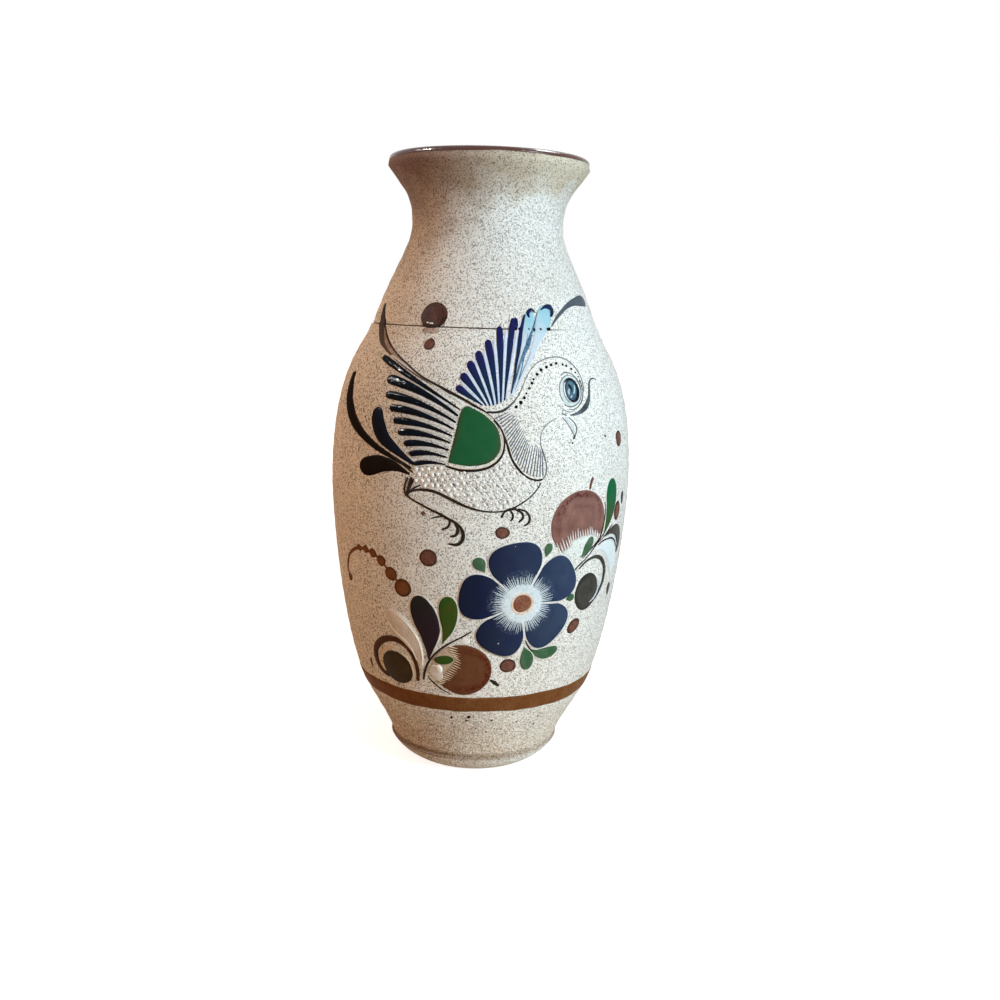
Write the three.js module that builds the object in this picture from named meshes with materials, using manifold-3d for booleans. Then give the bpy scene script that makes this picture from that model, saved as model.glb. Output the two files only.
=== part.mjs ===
// A stoneware flower vase, thrown in two sections that are luted together at the shoulder, glazed
// inside and over the lip, and decorated with raised enamels: a flying bird above a flowering spray.
// Millimetres, +Z up. The axis is Z, the vase rests on Z = 0, and its decorated side faces -Y.

import * as THREE from "three";
import { mergeVertices } from "three/addons/utils/BufferGeometryUtils.js";
import Module from "manifold-3d";

// The foot: a turned ring that the vase rests on, rounding up to a line cut into the clay.
const FOOT_RING_RADIUS = 30;
const FOOT_RING_WIDTH = 6.5;
const FOOT_HOLLOW_DEPTH = 2;
const FOOT_HEIGHT = 11.2;
const FOOT_ROUND_PULL = 9;
const FOOT_STEP = 0.8;
const FOOT_LINE_HEIGHT = 0.8;

// The outside of the lower section, as radii and as heights from one station to the next.
const HEEL_RADIUS = 42.4;
const HEEL_LEAN = 19;
const HEEL_HEIGHT = 30;
const FLANK_RADIUS = 57.7;
const FLANK_LEAN = 24;
const FLANK_HEIGHT = 103;
const BELLY_RADIUS = 74.6;
const SHOULDER_HEIGHT = 75.4;
const SEAM_RADIUS = 55.9;
const SEAM_LEAN = -10;

// The outside of the upper section, which stands a little inside the lower one's rim.
const SEAM_STEP = 0.9;
const COLLAR_LEAN = -19;
const COLLAR_HEIGHT = 47.1;
const NECK_RADIUS = 36.7;
const FLARE_HEIGHT = 27;
const LIP_RADIUS = 48.5;
const LIP_LEAN = 35;
const RIM_HEIGHT = 4.4;

// How far each stretch of the outline follows its first and last direction.
const HEEL_PULL = [11, 10];
const FLANK_PULL = [30, 15];
const SHOULDER_PULL = [57, 9];
const COLLAR_PULL = [27, 10];
const FLARE_PULL = [14, 14];

// Walls, floor and joint.
const WALL = 6;
const LIP_WALL = 5;
const FLOOR = 9;
const FLOOR_FLAT_RADIUS = 26;
const FLOOR_CORNER_HEIGHT = 15;
const FLOOR_CORNER_PULL = 14;
const SLIP_THICKNESS = 0.5;
const SLIP_RECESS = 0.5;

// Glazes and the painted band, each a hair off the clay that it lies on.
const GLAZE = 0.5;
const GLAZE_SEAT = 0.1;
const RIM_GLAZE_START_ANGLE = 35;
const BAND_HEIGHT = 41;
const BAND_WIDTH = 8.5;
const BAND_THICKNESS = 0.5;

// Raised enamels: a low cushion that is thickest in the middle and thin at its edge.
const ENAMEL_CROWN = 0.7;
const ENAMEL_EDGE = 0.3;
const ENAMEL_SEAT = 0.25;
const ENAMEL_CLEARANCE = 0.4;
const ENAMEL_STEP = 7;
const MIN_TAIL_STEPS = 4;
const HEAD_STATIONS = [0.1, 0.45];
const SEAM_BRIDGE = 2;

// The decoration is laid out on an unrolled sheet: [distance round, height], where the distance round
// is measured on a circle of this radius, from the middle of the front and to the right. The bird's
// heights are measured from the seam, and the spray's from the top edge of the painted band.
const LAYOUT_RADIUS = 70;

// Faces round the axis.
const MERIDIANS = 40;

const FLOWER_CENTRE = [20, 49.2];
const FLOWER_REACH = 28.6;
const PETAL_CORNER_REACH = 20;
const PETAL_GAP = 1.4;
const PETAL_PARTING_ANGLES = [138, 61.5, -1, -80, -159];
const HALO_RADIUS = 9.8;
const FLOWER_EYE_RADIUS = 4.4;

const WING_PATCH_INNER_EDGE = [[-13.8, -57.6], [-11.6, -46.4], [-9.4, -35.4], [-6.6, -33.1]];
const WING_PATCH_OUTER_EDGE = [
  [-13.8, -57.6], [-5, -59.2], [3.6, -57.4], [8.2, -49.9], [5.4, -41.4], [-1, -36.2], [-6.6, -33.1],
];

// Wing feathers: [tip, tip, bend as a share of the length, width, how fast it narrows].
const LEFT_WING = [
  [-57, -14.2, 0.03, 2.8],
  [-49, -23.4, 0.065, 4.2],
  [-47.5, -30.4, 0.065, 3.5],
  [-44, -35.9, 0.06, 3.3],
  [-41, -41.4, 0.06, 3.1],
  [-38, -46.4, 0.065, 3.1],
  [-34.5, -51.1, 0.07, 2.9],
  [-31.5, -55.4, 0.07, 2.6],
  [-29, -59.6, 0.07, 2.2],
];
const LEFT_WING_ROOTS = [[-11, -34.4], [-14.3, -45.4], [-16, -58.7]];
const RIGHT_WING = [
  [-12.4, -24.8, 0, 2.9],
  [-10.5, -19.4, 0.02, 3.4],
  [-7.5, -13.9, 0.02, 3.6],
  [-3.5, -9.4, 0.02, 3.8],
  [1.5, -4.4, 0.02, 3.9],
  [8.3, 1.6, 0, 3.8],
  [17, 5.3, -0.03, 3.6],
  [28, 8.6, -0.055, 4.8, 4],
  [41.5, 10.3, -0.095, 6.6, 6],
];
const RIGHT_WING_ROOTS = [[0.2, -32.6], [6.2, -34], [12.8, -27.8]];
const FEATHER_SHOULDER = 0.2;
const FEATHER_ROOT = 0.5;

// Strokes of the brush, each a line on the layout sheet from its head to its root.
const BIRD_STROKES = {
  left_wing_edge_feather: {
    glaze: "charcoal",
    line: [
      [-79.5, 8], [-74, 1], [-62, -7.8], [-50, -13], [-35, -19], [-20, -24.6], [-10, -29], [-2, -33.5],
    ],
    width: 5.6,
    root: 0.9,
    shoulder: 0.12,
    taper: 12,
  },
  right_wing_edge_feather: {
    glaze: "charcoal",
    line: [[83, 13.2], [75, 14], [65, 13.3], [56, 10.9], [48, 7.2], [42, 3.4], [37, 1.2]],
    width: 4.6,
    root: 0.8,
    shoulder: 0.2,
  },
  tail_feather_1: {
    glaze: "charcoal",
    line: [
      [-80.5, -22.1], [-80.3, -30.4], [-76, -38.4], [-66, -46.6], [-52, -53.1], [-40, -58.4], [-31.5, -62.4],
    ],
    width: 7.4,
    root: 1,
    shoulder: 0.14,
  },
  tail_feather_2: {
    glaze: "navy",
    line: [[-51.7, -36.1], [-51, -43.4], [-46, -49.7], [-38, -55.2], [-31, -58.8]],
    width: 7.2,
    root: 0.8,
    shoulder: 0.25,
  },
  tail_feather_3: {
    glaze: "charcoal",
    line: [[-60, -63.1], [-54, -62.6], [-46, -61.4], [-38, -62.4], [-31.5, -65.2]],
    width: 8.2,
    root: 0.8,
    shoulder: 0.22,
  },
  beak: {
    glaze: "charcoal",
    line: [[62.5, -22.1], [58.5, -21.8], [55.3, -24.9], [53.8, -29.9], [50.6, -34], [44, -36.8]],
    width: 2.4,
    root: 0.7,
    shoulder: 0.7,
  },
  neck_line: {
    glaze: "charcoal",
    line: [
      [1.6, -35.4], [6, -35.7], [10.4, -34.3], [15, -30.2], [19, -23.6], [22.5, -17.4],
      [28, -13], [36, -11.4], [43.5, -12.8], [49, -17.4], [51.4, -23.4], [51, -28.4],
    ],
    width: 0.9,
    root: 0.6,
    shoulder: 0.3,
  },
  breast_line: {
    glaze: "charcoal",
    line: [[4.8, -38.3], [8.6, -42.1], [10.6, -48.1], [12.7, -54.1], [16, -59.7], [20, -63.5], [24.5, -65]],
    width: 1,
    root: 0.7,
    shoulder: 0.6,
  },
  belly_line: {
    glaze: "charcoal",
    line: [
      [-31, -72.2], [-25, -70.8], [-15, -73.2], [-7, -76.6], [0, -78.3],
      [7, -78.7], [13, -77.5], [19, -74.4], [24, -69.9], [26.8, -65.8],
    ],
    width: 1.1,
    root: 0.6,
    shoulder: 0.4,
  },
};
const SPRAY_STROKES = {
  stem: {
    glaze: "charcoal",
    line: [[-28, 7.8], [-26.3, 13.5], [-23.2, 19.3], [-17.5, 24.9], [-10, 29.9], [-4.2, 33.7]],
    width: 1,
    root: 0.8,
    shoulder: 0.3,
  },
  left_navy_leaf: {
    glaze: "navy",
    line: [[-30, 49.5], [-27.2, 44], [-23.4, 36.5], [-22, 29.5], [-23.6, 22.3]],
    width: 12.4,
    root: 0.6,
    shoulder: 0.36,
    across: 4,
  },
  left_green_leaf: {
    glaze: "green",
    line: [[-14.2, 51.3], [-13.9, 44.5], [-13.2, 37.5], [-16.7, 29.1]],
    width: 8.8,
    root: 0.5,
    shoulder: 0.3,
  },
  left_white_leaf: {
    glaze: "white",
    line: [[-45.8, 37], [-41, 35.1], [-35.4, 30.5], [-30.4, 23.5], [-28, 16.5]],
    width: 9.2,
    root: 0.6,
    shoulder: 0.35,
  },
  lower_fruit: {
    glaze: "brown",
    line: [[8.2, 14.9], [-3, 14.7], [-13, 14.1], [-23.6, 12.3]],
    width: 26.4,
    root: 0.6,
    shoulder: 0.46,
    taper: 0.75,
    across: 6,
  },
  upper_fruit: {
    glaze: "brown",
    line: [[48.4, 99.9], [47.7, 88.5], [47.4, 78.5], [47.8, 67.5]],
    width: 31,
    root: 0.6,
    shoulder: 0.48,
    taper: 0.75,
    across: 6,
  },
  right_green_leaf: {
    glaze: "green",
    line: [[67.5, 103.5], [67.6, 96.5], [67.5, 88.5], [65.9, 81.5], [62.6, 76.9]],
    width: 9.2,
    root: 0.6,
    shoulder: 0.28,
  },
  right_dark_leaf: {
    glaze: "charcoal",
    line: [[82, 64.3], [82.4, 71], [78.4, 76.3], [72, 77.5], [66, 75.5]],
    width: 6.2,
    root: 0.6,
    shoulder: 0.45,
  },
  right_white_leaf: {
    glaze: "white",
    line: [[77.5, 59], [75.6, 64.9], [70.3, 69.5], [64.5, 70.9], [59, 69.7]],
    width: 7.8,
    root: 0.6,
    shoulder: 0.35,
  },
  leaflet_1: {
    glaze: "green",
    line: [[-2, 70.8], [-0.2, 68], [2.4, 65.3]],
    width: 5.4,
    root: 0.4,
    shoulder: 0.4,
  },
  leaflet_2: {
    glaze: "green",
    line: [[32.3, 77], [30.9, 74.5], [29.5, 71.3]],
    width: 3.8,
    root: 0.4,
    shoulder: 0.4,
  },
  leaflet_3: {
    glaze: "green",
    line: [[47.1, 48.6], [44.8, 48.8], [42.4, 49.3]],
    width: 3,
    root: 0.4,
    shoulder: 0.45,
  },
  leaflet_4: {
    glaze: "green",
    line: [[25, 14.8], [25.3, 19.5], [23.4, 25.9]],
    width: 7,
    root: 0.4,
    shoulder: 0.42,
  },
  leaflet_5: {
    glaze: "green",
    line: [[42.3, 23.9], [37, 22.4], [31, 24.5]],
    width: 6,
    root: 0.4,
    shoulder: 0.45,
  },
};

// Round drops of enamel: centre, and half the width and the height on the layout sheet.
const SEAM_DISC = { centre: [-31.7, 4.9], size: [8.6, 6.2] };
const BIRD_EYE = { centre: [43.5, -26.1], size: [4.2, 4.2] };

// Scrolls: a tapering curl that runs into a round drop.
const LEFT_SCROLL = {
  curl: [
    [-49, 5.4], [-54, 6.9], [-57, 12], [-56.4, 18.3], [-51.5, 23.5],
    [-44.5, 25.5], [-37.5, 23.5], [-32.8, 18.8], [-30.7, 12.5], [-31.3, 6.8],
  ],
  width: 3.6,
  root: 1.8,
  drop: { centre: [-43.8, 11.7], size: [9.2, 8.3] },
};
const RIGHT_SCROLL = {
  curl: [
    [56.5, 43.1], [62, 43.5], [67, 47.3], [70, 52.5], [69.8, 58.5],
    [66.3, 63.8], [60.5, 66.5], [54, 65.5], [49.2, 62.1],
  ],
  width: 2.4,
  root: 0.9,
  drop: { centre: [56.9, 50.4], size: [8.4, 8.8] },
};

// The tendril of beads: its line, and the beads on it as [distance round, height, radius].
const TENDRIL_LINE = [
  [-73, 50], [-74.8, 55], [-72.5, 61], [-67, 65.5], [-60, 67.7],
  [-52.5, 66.9], [-46.5, 63.9], [-41.3, 58.8], [-36, 53.7],
];
const TENDRIL_WIDTH = 1.6;
const TENDRIL_BEADS = [
  [-73.2, 50.5, 2],
  [-61.5, 67.7, 1.6],
  [-56.5, 67.9, 1.9],
  [-51.7, 66.9, 2.2],
  [-46.6, 64.1, 2.6],
  [-41.3, 58.8, 3.3],
  [-35.2, 52.9, 4.4],
];

const COLOURS = {
  stoneware: [0xd7cdbe, 0.92],
  liner: [0x5a3020, 0.25],
  brown: [0x6e3d28, 0.6],
  navy: [0x1e2350, 0.25],
  green: [0x23602f, 0.35],
  white: [0xdfe3e2, 0.35],
  charcoal: [0x2b2725, 0.4],
};

const wasm = await Module();
wasm.setup();

const vase = new THREE.Group();
vase.name = "stoneware_vase";

function addPiece(name, glaze, geometry) {
  const [color, roughness] = COLOURS[glaze];
  const material = new THREE.MeshStandardMaterial({ color, roughness, metalness: 0 });
  const mesh = new THREE.Mesh(geometry, material);
  mesh.name = name;
  vase.add(mesh);
}

// Outlines in the plane of the axis are lists of Vector2, with the radius as x and the height as y.
const point = (radius, height) => new THREE.Vector2(radius, height);

// A stretch of the outline between two stations, each left or met at a lean from upright in degrees.
function stretch(from, fromLean, to, toLean, [fromPull, toPull]) {
  const direction = (lean) => {
    const turn = THREE.MathUtils.degToRad(lean);
    return point(Math.sin(turn), Math.cos(turn));
  };
  const afterStart = from.clone().addScaledVector(direction(fromLean), fromPull);
  const beforeEnd = to.clone().addScaledVector(direction(toLean), -toPull);
  return new THREE.CubicBezierCurve(from, afterStart, beforeEnd, to);
}

// The radius of a list of stretches at a height, found by halving.
function radiusAt(stretches, height) {
  const curve = stretches.find((c) => height <= c.v3.y) ?? stretches[stretches.length - 1];
  let low = 0;
  let high = 1;
  for (let i = 0; i < 40; i++) {
    const middle = (low + high) / 2;
    if (curve.getPoint(middle).y < height) low = middle;
    else high = middle;
  }
  return curve.getPoint(low).x;
}

// Heights from one level to another in equal steps, without the first.
function steps(from, to, count) {
  return Array.from({ length: count }, (_, i) => from + ((to - from) * (i + 1)) / count);
}

// A closed body turned about the axis from its outline.
function turned(outline) {
  const geometry = new THREE.LatheGeometry(outline, MERIDIANS);
  geometry.rotateX(Math.PI / 2);
  return geometry;
}

// A line moved sideways by a thickness, to the left as it runs.
function offsetLine(line, thickness) {
  return line.map((p, i) => {
    const before = line[Math.max(i - 1, 0)];
    const after = line[Math.min(i + 1, line.length - 1)];
    const along = after.clone().sub(before).normalize();
    return point(p.x - along.y * thickness, p.y + along.x * thickness);
  });
}

// Stations up the outside.
const footLineTop = FOOT_HEIGHT + FOOT_LINE_HEIGHT;
const flankZ = footLineTop + HEEL_HEIGHT;
const bellyZ = flankZ + FLANK_HEIGHT;
const seamZ = bellyZ + SHOULDER_HEIGHT;
const collarZ = seamZ + SLIP_THICKNESS;
const neckZ = collarZ + COLLAR_HEIGHT;
const lipZ = neckZ + FLARE_HEIGHT;
const collarRadius = SEAM_RADIUS - SEAM_STEP;
const seamBore = SEAM_RADIUS - WALL;
const bandTop = BAND_HEIGHT + BAND_WIDTH;

const heelStation = point(HEEL_RADIUS, footLineTop);
const flankStation = point(FLANK_RADIUS, flankZ);
const bellyStation = point(BELLY_RADIUS, bellyZ);
const seamStation = point(SEAM_RADIUS, seamZ);
const collarStation = point(collarRadius, collarZ);
const neckStation = point(NECK_RADIUS, neckZ);
const lipStation = point(LIP_RADIUS, lipZ);

const lowerOutside = [
  stretch(heelStation, HEEL_LEAN, flankStation, FLANK_LEAN, HEEL_PULL),
  stretch(flankStation, FLANK_LEAN, bellyStation, 0, FLANK_PULL),
  stretch(bellyStation, 0, seamStation, SEAM_LEAN, SHOULDER_PULL),
];
const upperOutside = [
  stretch(collarStation, COLLAR_LEAN, neckStation, 0, COLLAR_PULL),
  stretch(neckStation, 0, lipStation, LIP_LEAN, FLARE_PULL),
];

// The lower section: rings of points up its outside, with one at each edge of the painted band.
const wallRing = (z) => point(radiusAt(lowerOutside, z), z);
const bandWall = [BAND_HEIGHT, (BAND_HEIGHT + bandTop) / 2, bandTop].map(wallRing);
const lowerWall = [
  heelStation,
  ...steps(footLineTop, BAND_HEIGHT, 3).slice(0, -1).map(wallRing),
  ...bandWall,
  ...steps(bandTop, bellyZ, 6).map(wallRing),
  ...steps(bellyZ, seamZ, 8).map(wallRing),
];
const footTop = point(HEEL_RADIUS + FOOT_STEP, FOOT_HEIGHT);
const footRound = new THREE.QuadraticBezierCurve(
  point(FOOT_RING_RADIUS, 0),
  point(FOOT_RING_RADIUS + FOOT_ROUND_PULL, FOOT_HEIGHT / 3),
  footTop,
).getPoints(4);

// The inside: a flat floor, a rounded corner and a wall of even thickness.
const floorZ = FOOT_HOLLOW_DEPTH + FLOOR;
const cornerZ = floorZ + FLOOR_CORNER_HEIGHT;
const floorCorner = new THREE.QuadraticBezierCurve(
  point(FLOOR_FLAT_RADIUS, floorZ),
  point(FLOOR_FLAT_RADIUS + FLOOR_CORNER_PULL, floorZ + FOOT_LINE_HEIGHT),
  point(radiusAt(lowerOutside, cornerZ) - WALL, cornerZ),
).getPoints(2);
const lowerBore = [
  point(0, floorZ),
  ...floorCorner,
  ...steps(cornerZ, bellyZ, 3).map((z) => point(radiusAt(lowerOutside, z) - WALL, z)),
  ...steps(bellyZ, seamZ, 3).map((z) => point(radiusAt(lowerOutside, z) - WALL, z)),
];
const footHollow = [
  point(0, FOOT_HOLLOW_DEPTH),
  point(FOOT_RING_RADIUS - FOOT_RING_WIDTH - FOOT_HOLLOW_DEPTH, FOOT_HOLLOW_DEPTH),
  point(FOOT_RING_RADIUS - FOOT_RING_WIDTH, 0),
];
const lowerOutline = [...footHollow, ...footRound, ...lowerWall, ...lowerBore.toReversed()];
addPiece("lower_section", "stoneware", turned(lowerOutline));

// The slip that lutes the sections together, drawn back a little from the outside.
addPiece(
  "luting_slip",
  "stoneware",
  turned([
    point(seamBore, seamZ),
    point(collarRadius - SLIP_RECESS, seamZ),
    point(collarRadius - SLIP_RECESS, collarZ),
    point(seamBore, collarZ),
    point(seamBore, seamZ),
  ]),
);

// The upper section: collar, neck, flare and a rounded rim, with a wall that thins towards the lip.
const upperHeights = [collarZ, ...steps(collarZ, neckZ, 6), ...steps(neckZ, lipZ, 5)];
const upperWall = upperHeights.map((z) => point(radiusAt(upperOutside, z), z));
const rimCentre = LIP_RADIUS - LIP_WALL / 2;
function rimPoint(degrees, grown) {
  const turn = THREE.MathUtils.degToRad(degrees);
  const reach = LIP_WALL / 2 + grown;
  const rise = RIM_HEIGHT + grown;
  return point(rimCentre + reach * Math.cos(turn), lipZ + rise * Math.sin(turn));
}
const rimAngles = [RIM_GLAZE_START_ANGLE, 90, 135, 180];
const rim = rimAngles.map((degrees) => rimPoint(degrees, 0));
function upperWallThickness(z) {
  return THREE.MathUtils.mapLinear(z, collarZ, lipZ, WALL - SEAM_STEP, LIP_WALL);
}
const upperBore = [collarZ, ...steps(collarZ, neckZ, 3), ...steps(neckZ, lipZ, 3)].map((z) =>
  point(radiusAt(upperOutside, z) - upperWallThickness(z), z),
);
const upperOutline = [...upperWall, ...rim, ...upperBore.toReversed().slice(1), upperWall[0]];
addPiece("upper_section", "stoneware", turned(upperOutline));

// The glaze that lines the inside from the floor to the rim, and the glaze poured over the rim.
const bore = [...lowerBore, ...upperBore];
function linerLine(depth) {
  const line = offsetLine(bore, depth);
  line[0] = point(0, floorZ + depth);
  line[line.length - 1] = point(LIP_RADIUS - LIP_WALL - depth, lipZ - GLAZE_SEAT);
  return line;
}
const linerOutline = [...linerLine(GLAZE_SEAT), ...linerLine(GLAZE_SEAT + GLAZE).toReversed()];
addPiece("liner_glaze", "liner", turned(linerOutline));
const rimFace = rimAngles.map((degrees) => rimPoint(degrees, GLAZE_SEAT + GLAZE));
const rimUnder = rimAngles.map((degrees) => rimPoint(degrees, GLAZE_SEAT));
addPiece("lip_glaze", "liner", turned([...rimFace, ...rimUnder.toReversed(), rimFace[0]]));

// The painted band above the foot follows the wall's own rings.
const bandUnder = offsetLine(bandWall, -GLAZE_SEAT);
const bandFace = offsetLine(bandWall, -GLAZE_SEAT - BAND_THICKNESS);
addPiece("foot_band", "brown", turned([...bandFace, ...bandUnder.toReversed(), bandFace[0]]));

// The line that the enamels lie on: both walls, bridged across the step at the seam.
const coverLine = [...footRound, ...lowerWall, ...upperWall.filter((p) => p.y > collarZ + SEAM_BRIDGE)];
function coverRadius(z) {
  const above = coverLine.findIndex((p, i) => i > 0 && p.y >= z);
  const [a, b] = [coverLine[above - 1], coverLine[above]];
  return THREE.MathUtils.mapLinear(z, a.y, b.y, a.x, b.x);
}

// A point of the layout sheet, lifted off the wall along its normal.
function onWall([around, height], lift) {
  const lean = Math.atan((coverRadius(height + 1) - coverRadius(height - 1)) / 2);
  const radius = coverRadius(height) + lift * Math.cos(lean);
  const angle = around / LAYOUT_RADIUS;
  const z = height - lift * Math.sin(lean);
  return new THREE.Vector3(radius * Math.sin(angle), -radius * Math.cos(angle), z);
}

// Loops of points joined in order. The ends run to two points or stand as walls, and without ends
// the last loop joins the first.
function lofted(loops, ends) {
  const size = loops[0].length;
  const corners = loops.flat();
  const faces = [];
  const spans = ends ? loops.length - 1 : loops.length;
  for (let i = 0; i < spans; i++) {
    for (let j = 0; j < size; j++) {
      const a = i * size + j;
      const b = i * size + ((j + 1) % size);
      const c = ((i + 1) % loops.length) * size + j;
      const d = ((i + 1) % loops.length) * size + ((j + 1) % size);
      faces.push(a, c, b, b, c, d);
    }
  }
  const lastLoop = (loops.length - 1) * size;
  if (ends === "walls") {
    for (let j = 0; j + 1 < size / 2; j++) {
      const wall = [j, j + 1, size - 2 - j, j, size - 2 - j, size - 1 - j];
      faces.push(...wall, ...wall.toReversed().map((corner) => corner + lastLoop));
    }
  } else if (ends) {
    const first = corners.push(ends[0]) - 1;
    const last = corners.push(ends[1]) - 1;
    for (let j = 0; j < size; j++) {
      const next = (j + 1) % size;
      faces.push(first, j, next, last, lastLoop + next, lastLoop + j);
    }
  }
  const geometry = new THREE.BufferGeometry().setFromPoints(corners);
  geometry.setIndex(faces);
  return geometry;
}

// The section of an enamel across its width, crowned in the middle.
function enamelSection(place, f, across) {
  const sides = Array.from({ length: across + 1 }, (_, j) => (2 * j) / across - 1);
  const top = sides.map((s) => {
    const height = ENAMEL_EDGE + (ENAMEL_CROWN - ENAMEL_EDGE) * (1 - s * s);
    return onWall(place(f, s), ENAMEL_SEAT + height);
  });
  const under = sides.map((s) => onWall(place(f, s), ENAMEL_SEAT));
  return [...top, ...under.toReversed()];
}

// An enamel laid over the wall, where place(f, s) gives the layout point at f along its length, from
// 0 to 1, and s across it, from -1 on the right to 1 on the left. Its stations are where its sections
// stand, and it runs to a point at both ends.
function enamel(place, stations, across = 2) {
  const loops = stations.map((f) => enamelSection(place, f, across));
  const endLift = ENAMEL_SEAT + ENAMEL_EDGE / 2;
  return lofted(loops, [onWall(place(0, 0), endLift), onWall(place(1, 0), endLift)]);
}

// The width of a brush stroke at t along it: a round head, its widest place, and a taper to its root.
function strokeWidth(t, { width, root, shoulder, taper = 1.5 }) {
  if (t < shoulder) return width * Math.sqrt(1 - ((shoulder - t) / shoulder) ** 2);
  const x = (t - shoulder) / (1 - shoulder);
  return root + (width - root) * (1 - x * x) ** taper;
}

// A brush stroke along a curve, with sections close together round its head and no further apart than
// the curve of the wall allows along its tail.
function strokeOn(curve, form) {
  const place = (t, s) => {
    const centre = curve.getPointAt(t);
    const along = curve.getTangentAt(t);
    const side = (s * strokeWidth(t, form)) / 2;
    return [centre.x - along.y * side, centre.y + along.x * side];
  };
  const length = curve.getLength();
  const countTo = (share) => Math.ceil((share * length) / ENAMEL_STEP);
  const [nose, cheek] = HEAD_STATIONS.map((share) => share * form.shoulder);
  const head = [nose, cheek, ...steps(cheek, form.shoulder, countTo(form.shoulder - cheek))];
  const tail = steps(form.shoulder, 1, Math.max(MIN_TAIL_STEPS, countTo(1 - form.shoulder))).slice(0, -1);
  return enamel(place, [...head, ...tail], form.across);
}

// A line of the layout sheet as a curve, with its heights measured from a ground.
function splineOver(ground, line) {
  return new THREE.SplineCurve(line.map(([around, height]) => point(around, ground + height)));
}

function drop(ground, { centre, size }, rows = 6, across = 2) {
  const place = (f, s) => [
    centre[0] - s * size[0] * Math.sin(Math.PI * f),
    ground + centre[1] - size[1] * Math.cos(Math.PI * f),
  ];
  return enamel(place, steps(0, 1, rows).slice(0, -1), across);
}

// Enamels that run together are joined into one body.
function fused(geometries) {
  const solids = geometries.map((geometry) => {
    const bare = new THREE.BufferGeometry().setAttribute("position", geometry.getAttribute("position"));
    bare.setIndex(geometry.index);
    const merged = mergeVertices(bare, 1e-4);
    return new wasm.Manifold(
      new wasm.Mesh({
        numProp: 3,
        vertProperties: merged.attributes.position.array,
        triVerts: new Uint32Array(merged.index.array),
      }),
    );
  });
  const mesh = solids.reduce((all, next) => all.add(next)).getMesh();
  const joined = new THREE.BufferGeometry();
  joined.setAttribute("position", new THREE.BufferAttribute(mesh.vertProperties, mesh.numProp));
  joined.setIndex(new THREE.BufferAttribute(mesh.triVerts, 1));
  return joined;
}

function addStrokes(strokes, ground) {
  for (const [name, form] of Object.entries(strokes)) {
    addPiece(name, form.glaze, strokeOn(splineOver(ground, form.line), form));
  }
}
addStrokes(BIRD_STROKES, seamZ);
addStrokes(SPRAY_STROKES, bandTop);

// The wings: each feather runs from its tip to its own place on a line of roots.
function addWing(name, glaze, feathers, rootLine) {
  const roots = new THREE.QuadraticBezierCurve(...rootLine.map(([x, y]) => point(x, seamZ + y)));
  feathers.forEach(([x, y, bend, width, taper], i) => {
    const tip = point(x, seamZ + y);
    const root = roots.getPoint(i / (feathers.length - 1));
    const length = root.clone().sub(tip);
    const middle = tip.clone().addScaledVector(length, 0.5);
    middle.add(point(-length.y, length.x).multiplyScalar(2 * bend));
    const form = { width, root: FEATHER_ROOT, shoulder: FEATHER_SHOULDER, taper };
    addPiece(`${name}_${i + 1}`, glaze, strokeOn(new THREE.QuadraticBezierCurve(tip, middle, root), form));
  });
}
addWing("left_wing_feather", "charcoal", LEFT_WING, LEFT_WING_ROOTS);
addWing("right_wing_feather", "navy", RIGHT_WING, RIGHT_WING_ROOTS);

const patchInner = splineOver(seamZ, WING_PATCH_INNER_EDGE);
const patchOuter = splineOver(seamZ, WING_PATCH_OUTER_EDGE);
const patchPlace = (f, s) => patchOuter.getPointAt(f).lerp(patchInner.getPointAt(f), (s + 1) / 2).toArray();
addPiece("wing_patch", "green", enamel(patchPlace, steps(0, 1, 8).slice(0, -1), 4));

// The flower: petals between their partings, a ring of white slip and a brown eye.
function aboutFlower(reach, degrees) {
  const turn = THREE.MathUtils.degToRad(degrees);
  return [FLOWER_CENTRE[0] + reach * Math.cos(turn), bandTop + FLOWER_CENTRE[1] + reach * Math.sin(turn)];
}
const fullTurn = [...PETAL_PARTING_ANGLES, PETAL_PARTING_ANGLES[0] - 360];
PETAL_PARTING_ANGLES.forEach((start, i) => {
  const next = fullTurn[i + 1];
  const middle = (start + next) / 2;
  const halfSpan = (start - next) / 2;
  const inner = HALO_RADIUS + ENAMEL_CLEARANCE;
  const place = (f, s) => {
    const outer = PETAL_CORNER_REACH + (FLOWER_REACH - PETAL_CORNER_REACH) * Math.sqrt(1 - s * s);
    const reach = inner + (outer - inner) * f;
    const parting = THREE.MathUtils.radToDeg(Math.asin(PETAL_GAP / 2 / reach));
    return aboutFlower(reach, middle + s * (halfSpan - parting));
  };
  const loops = [0, ...steps(0, 1, 4)].map((f) => enamelSection(place, f, 6));
  addPiece(`petal_${i + 1}`, "navy", lofted(loops, "walls"));
});
const haloLoops = [];
const HALO_SIDES = 20;
for (let k = 0; k < HALO_SIDES; k++) {
  const place = (f, s) => {
    const reach = THREE.MathUtils.mapLinear(s, -1, 1, HALO_RADIUS, FLOWER_EYE_RADIUS + ENAMEL_CLEARANCE);
    return aboutFlower(reach, (360 * k) / HALO_SIDES);
  };
  haloLoops.push(enamelSection(place, 0, 2));
}
addPiece("flower_halo", "white", lofted(haloLoops));
const flowerEye = { centre: FLOWER_CENTRE, size: [FLOWER_EYE_RADIUS, FLOWER_EYE_RADIUS] };
addPiece("flower_eye", "brown", drop(bandTop, flowerEye));

function scroll({ curl, width, root, drop: eye }) {
  const form = { width, root, shoulder: 0.1, taper: 1 };
  return fused([strokeOn(splineOver(bandTop, curl), form), drop(bandTop, eye, 8, 4)]);
}
addPiece("left_scroll", "charcoal", scroll(LEFT_SCROLL));
addPiece("right_scroll", "charcoal", scroll(RIGHT_SCROLL));

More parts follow.
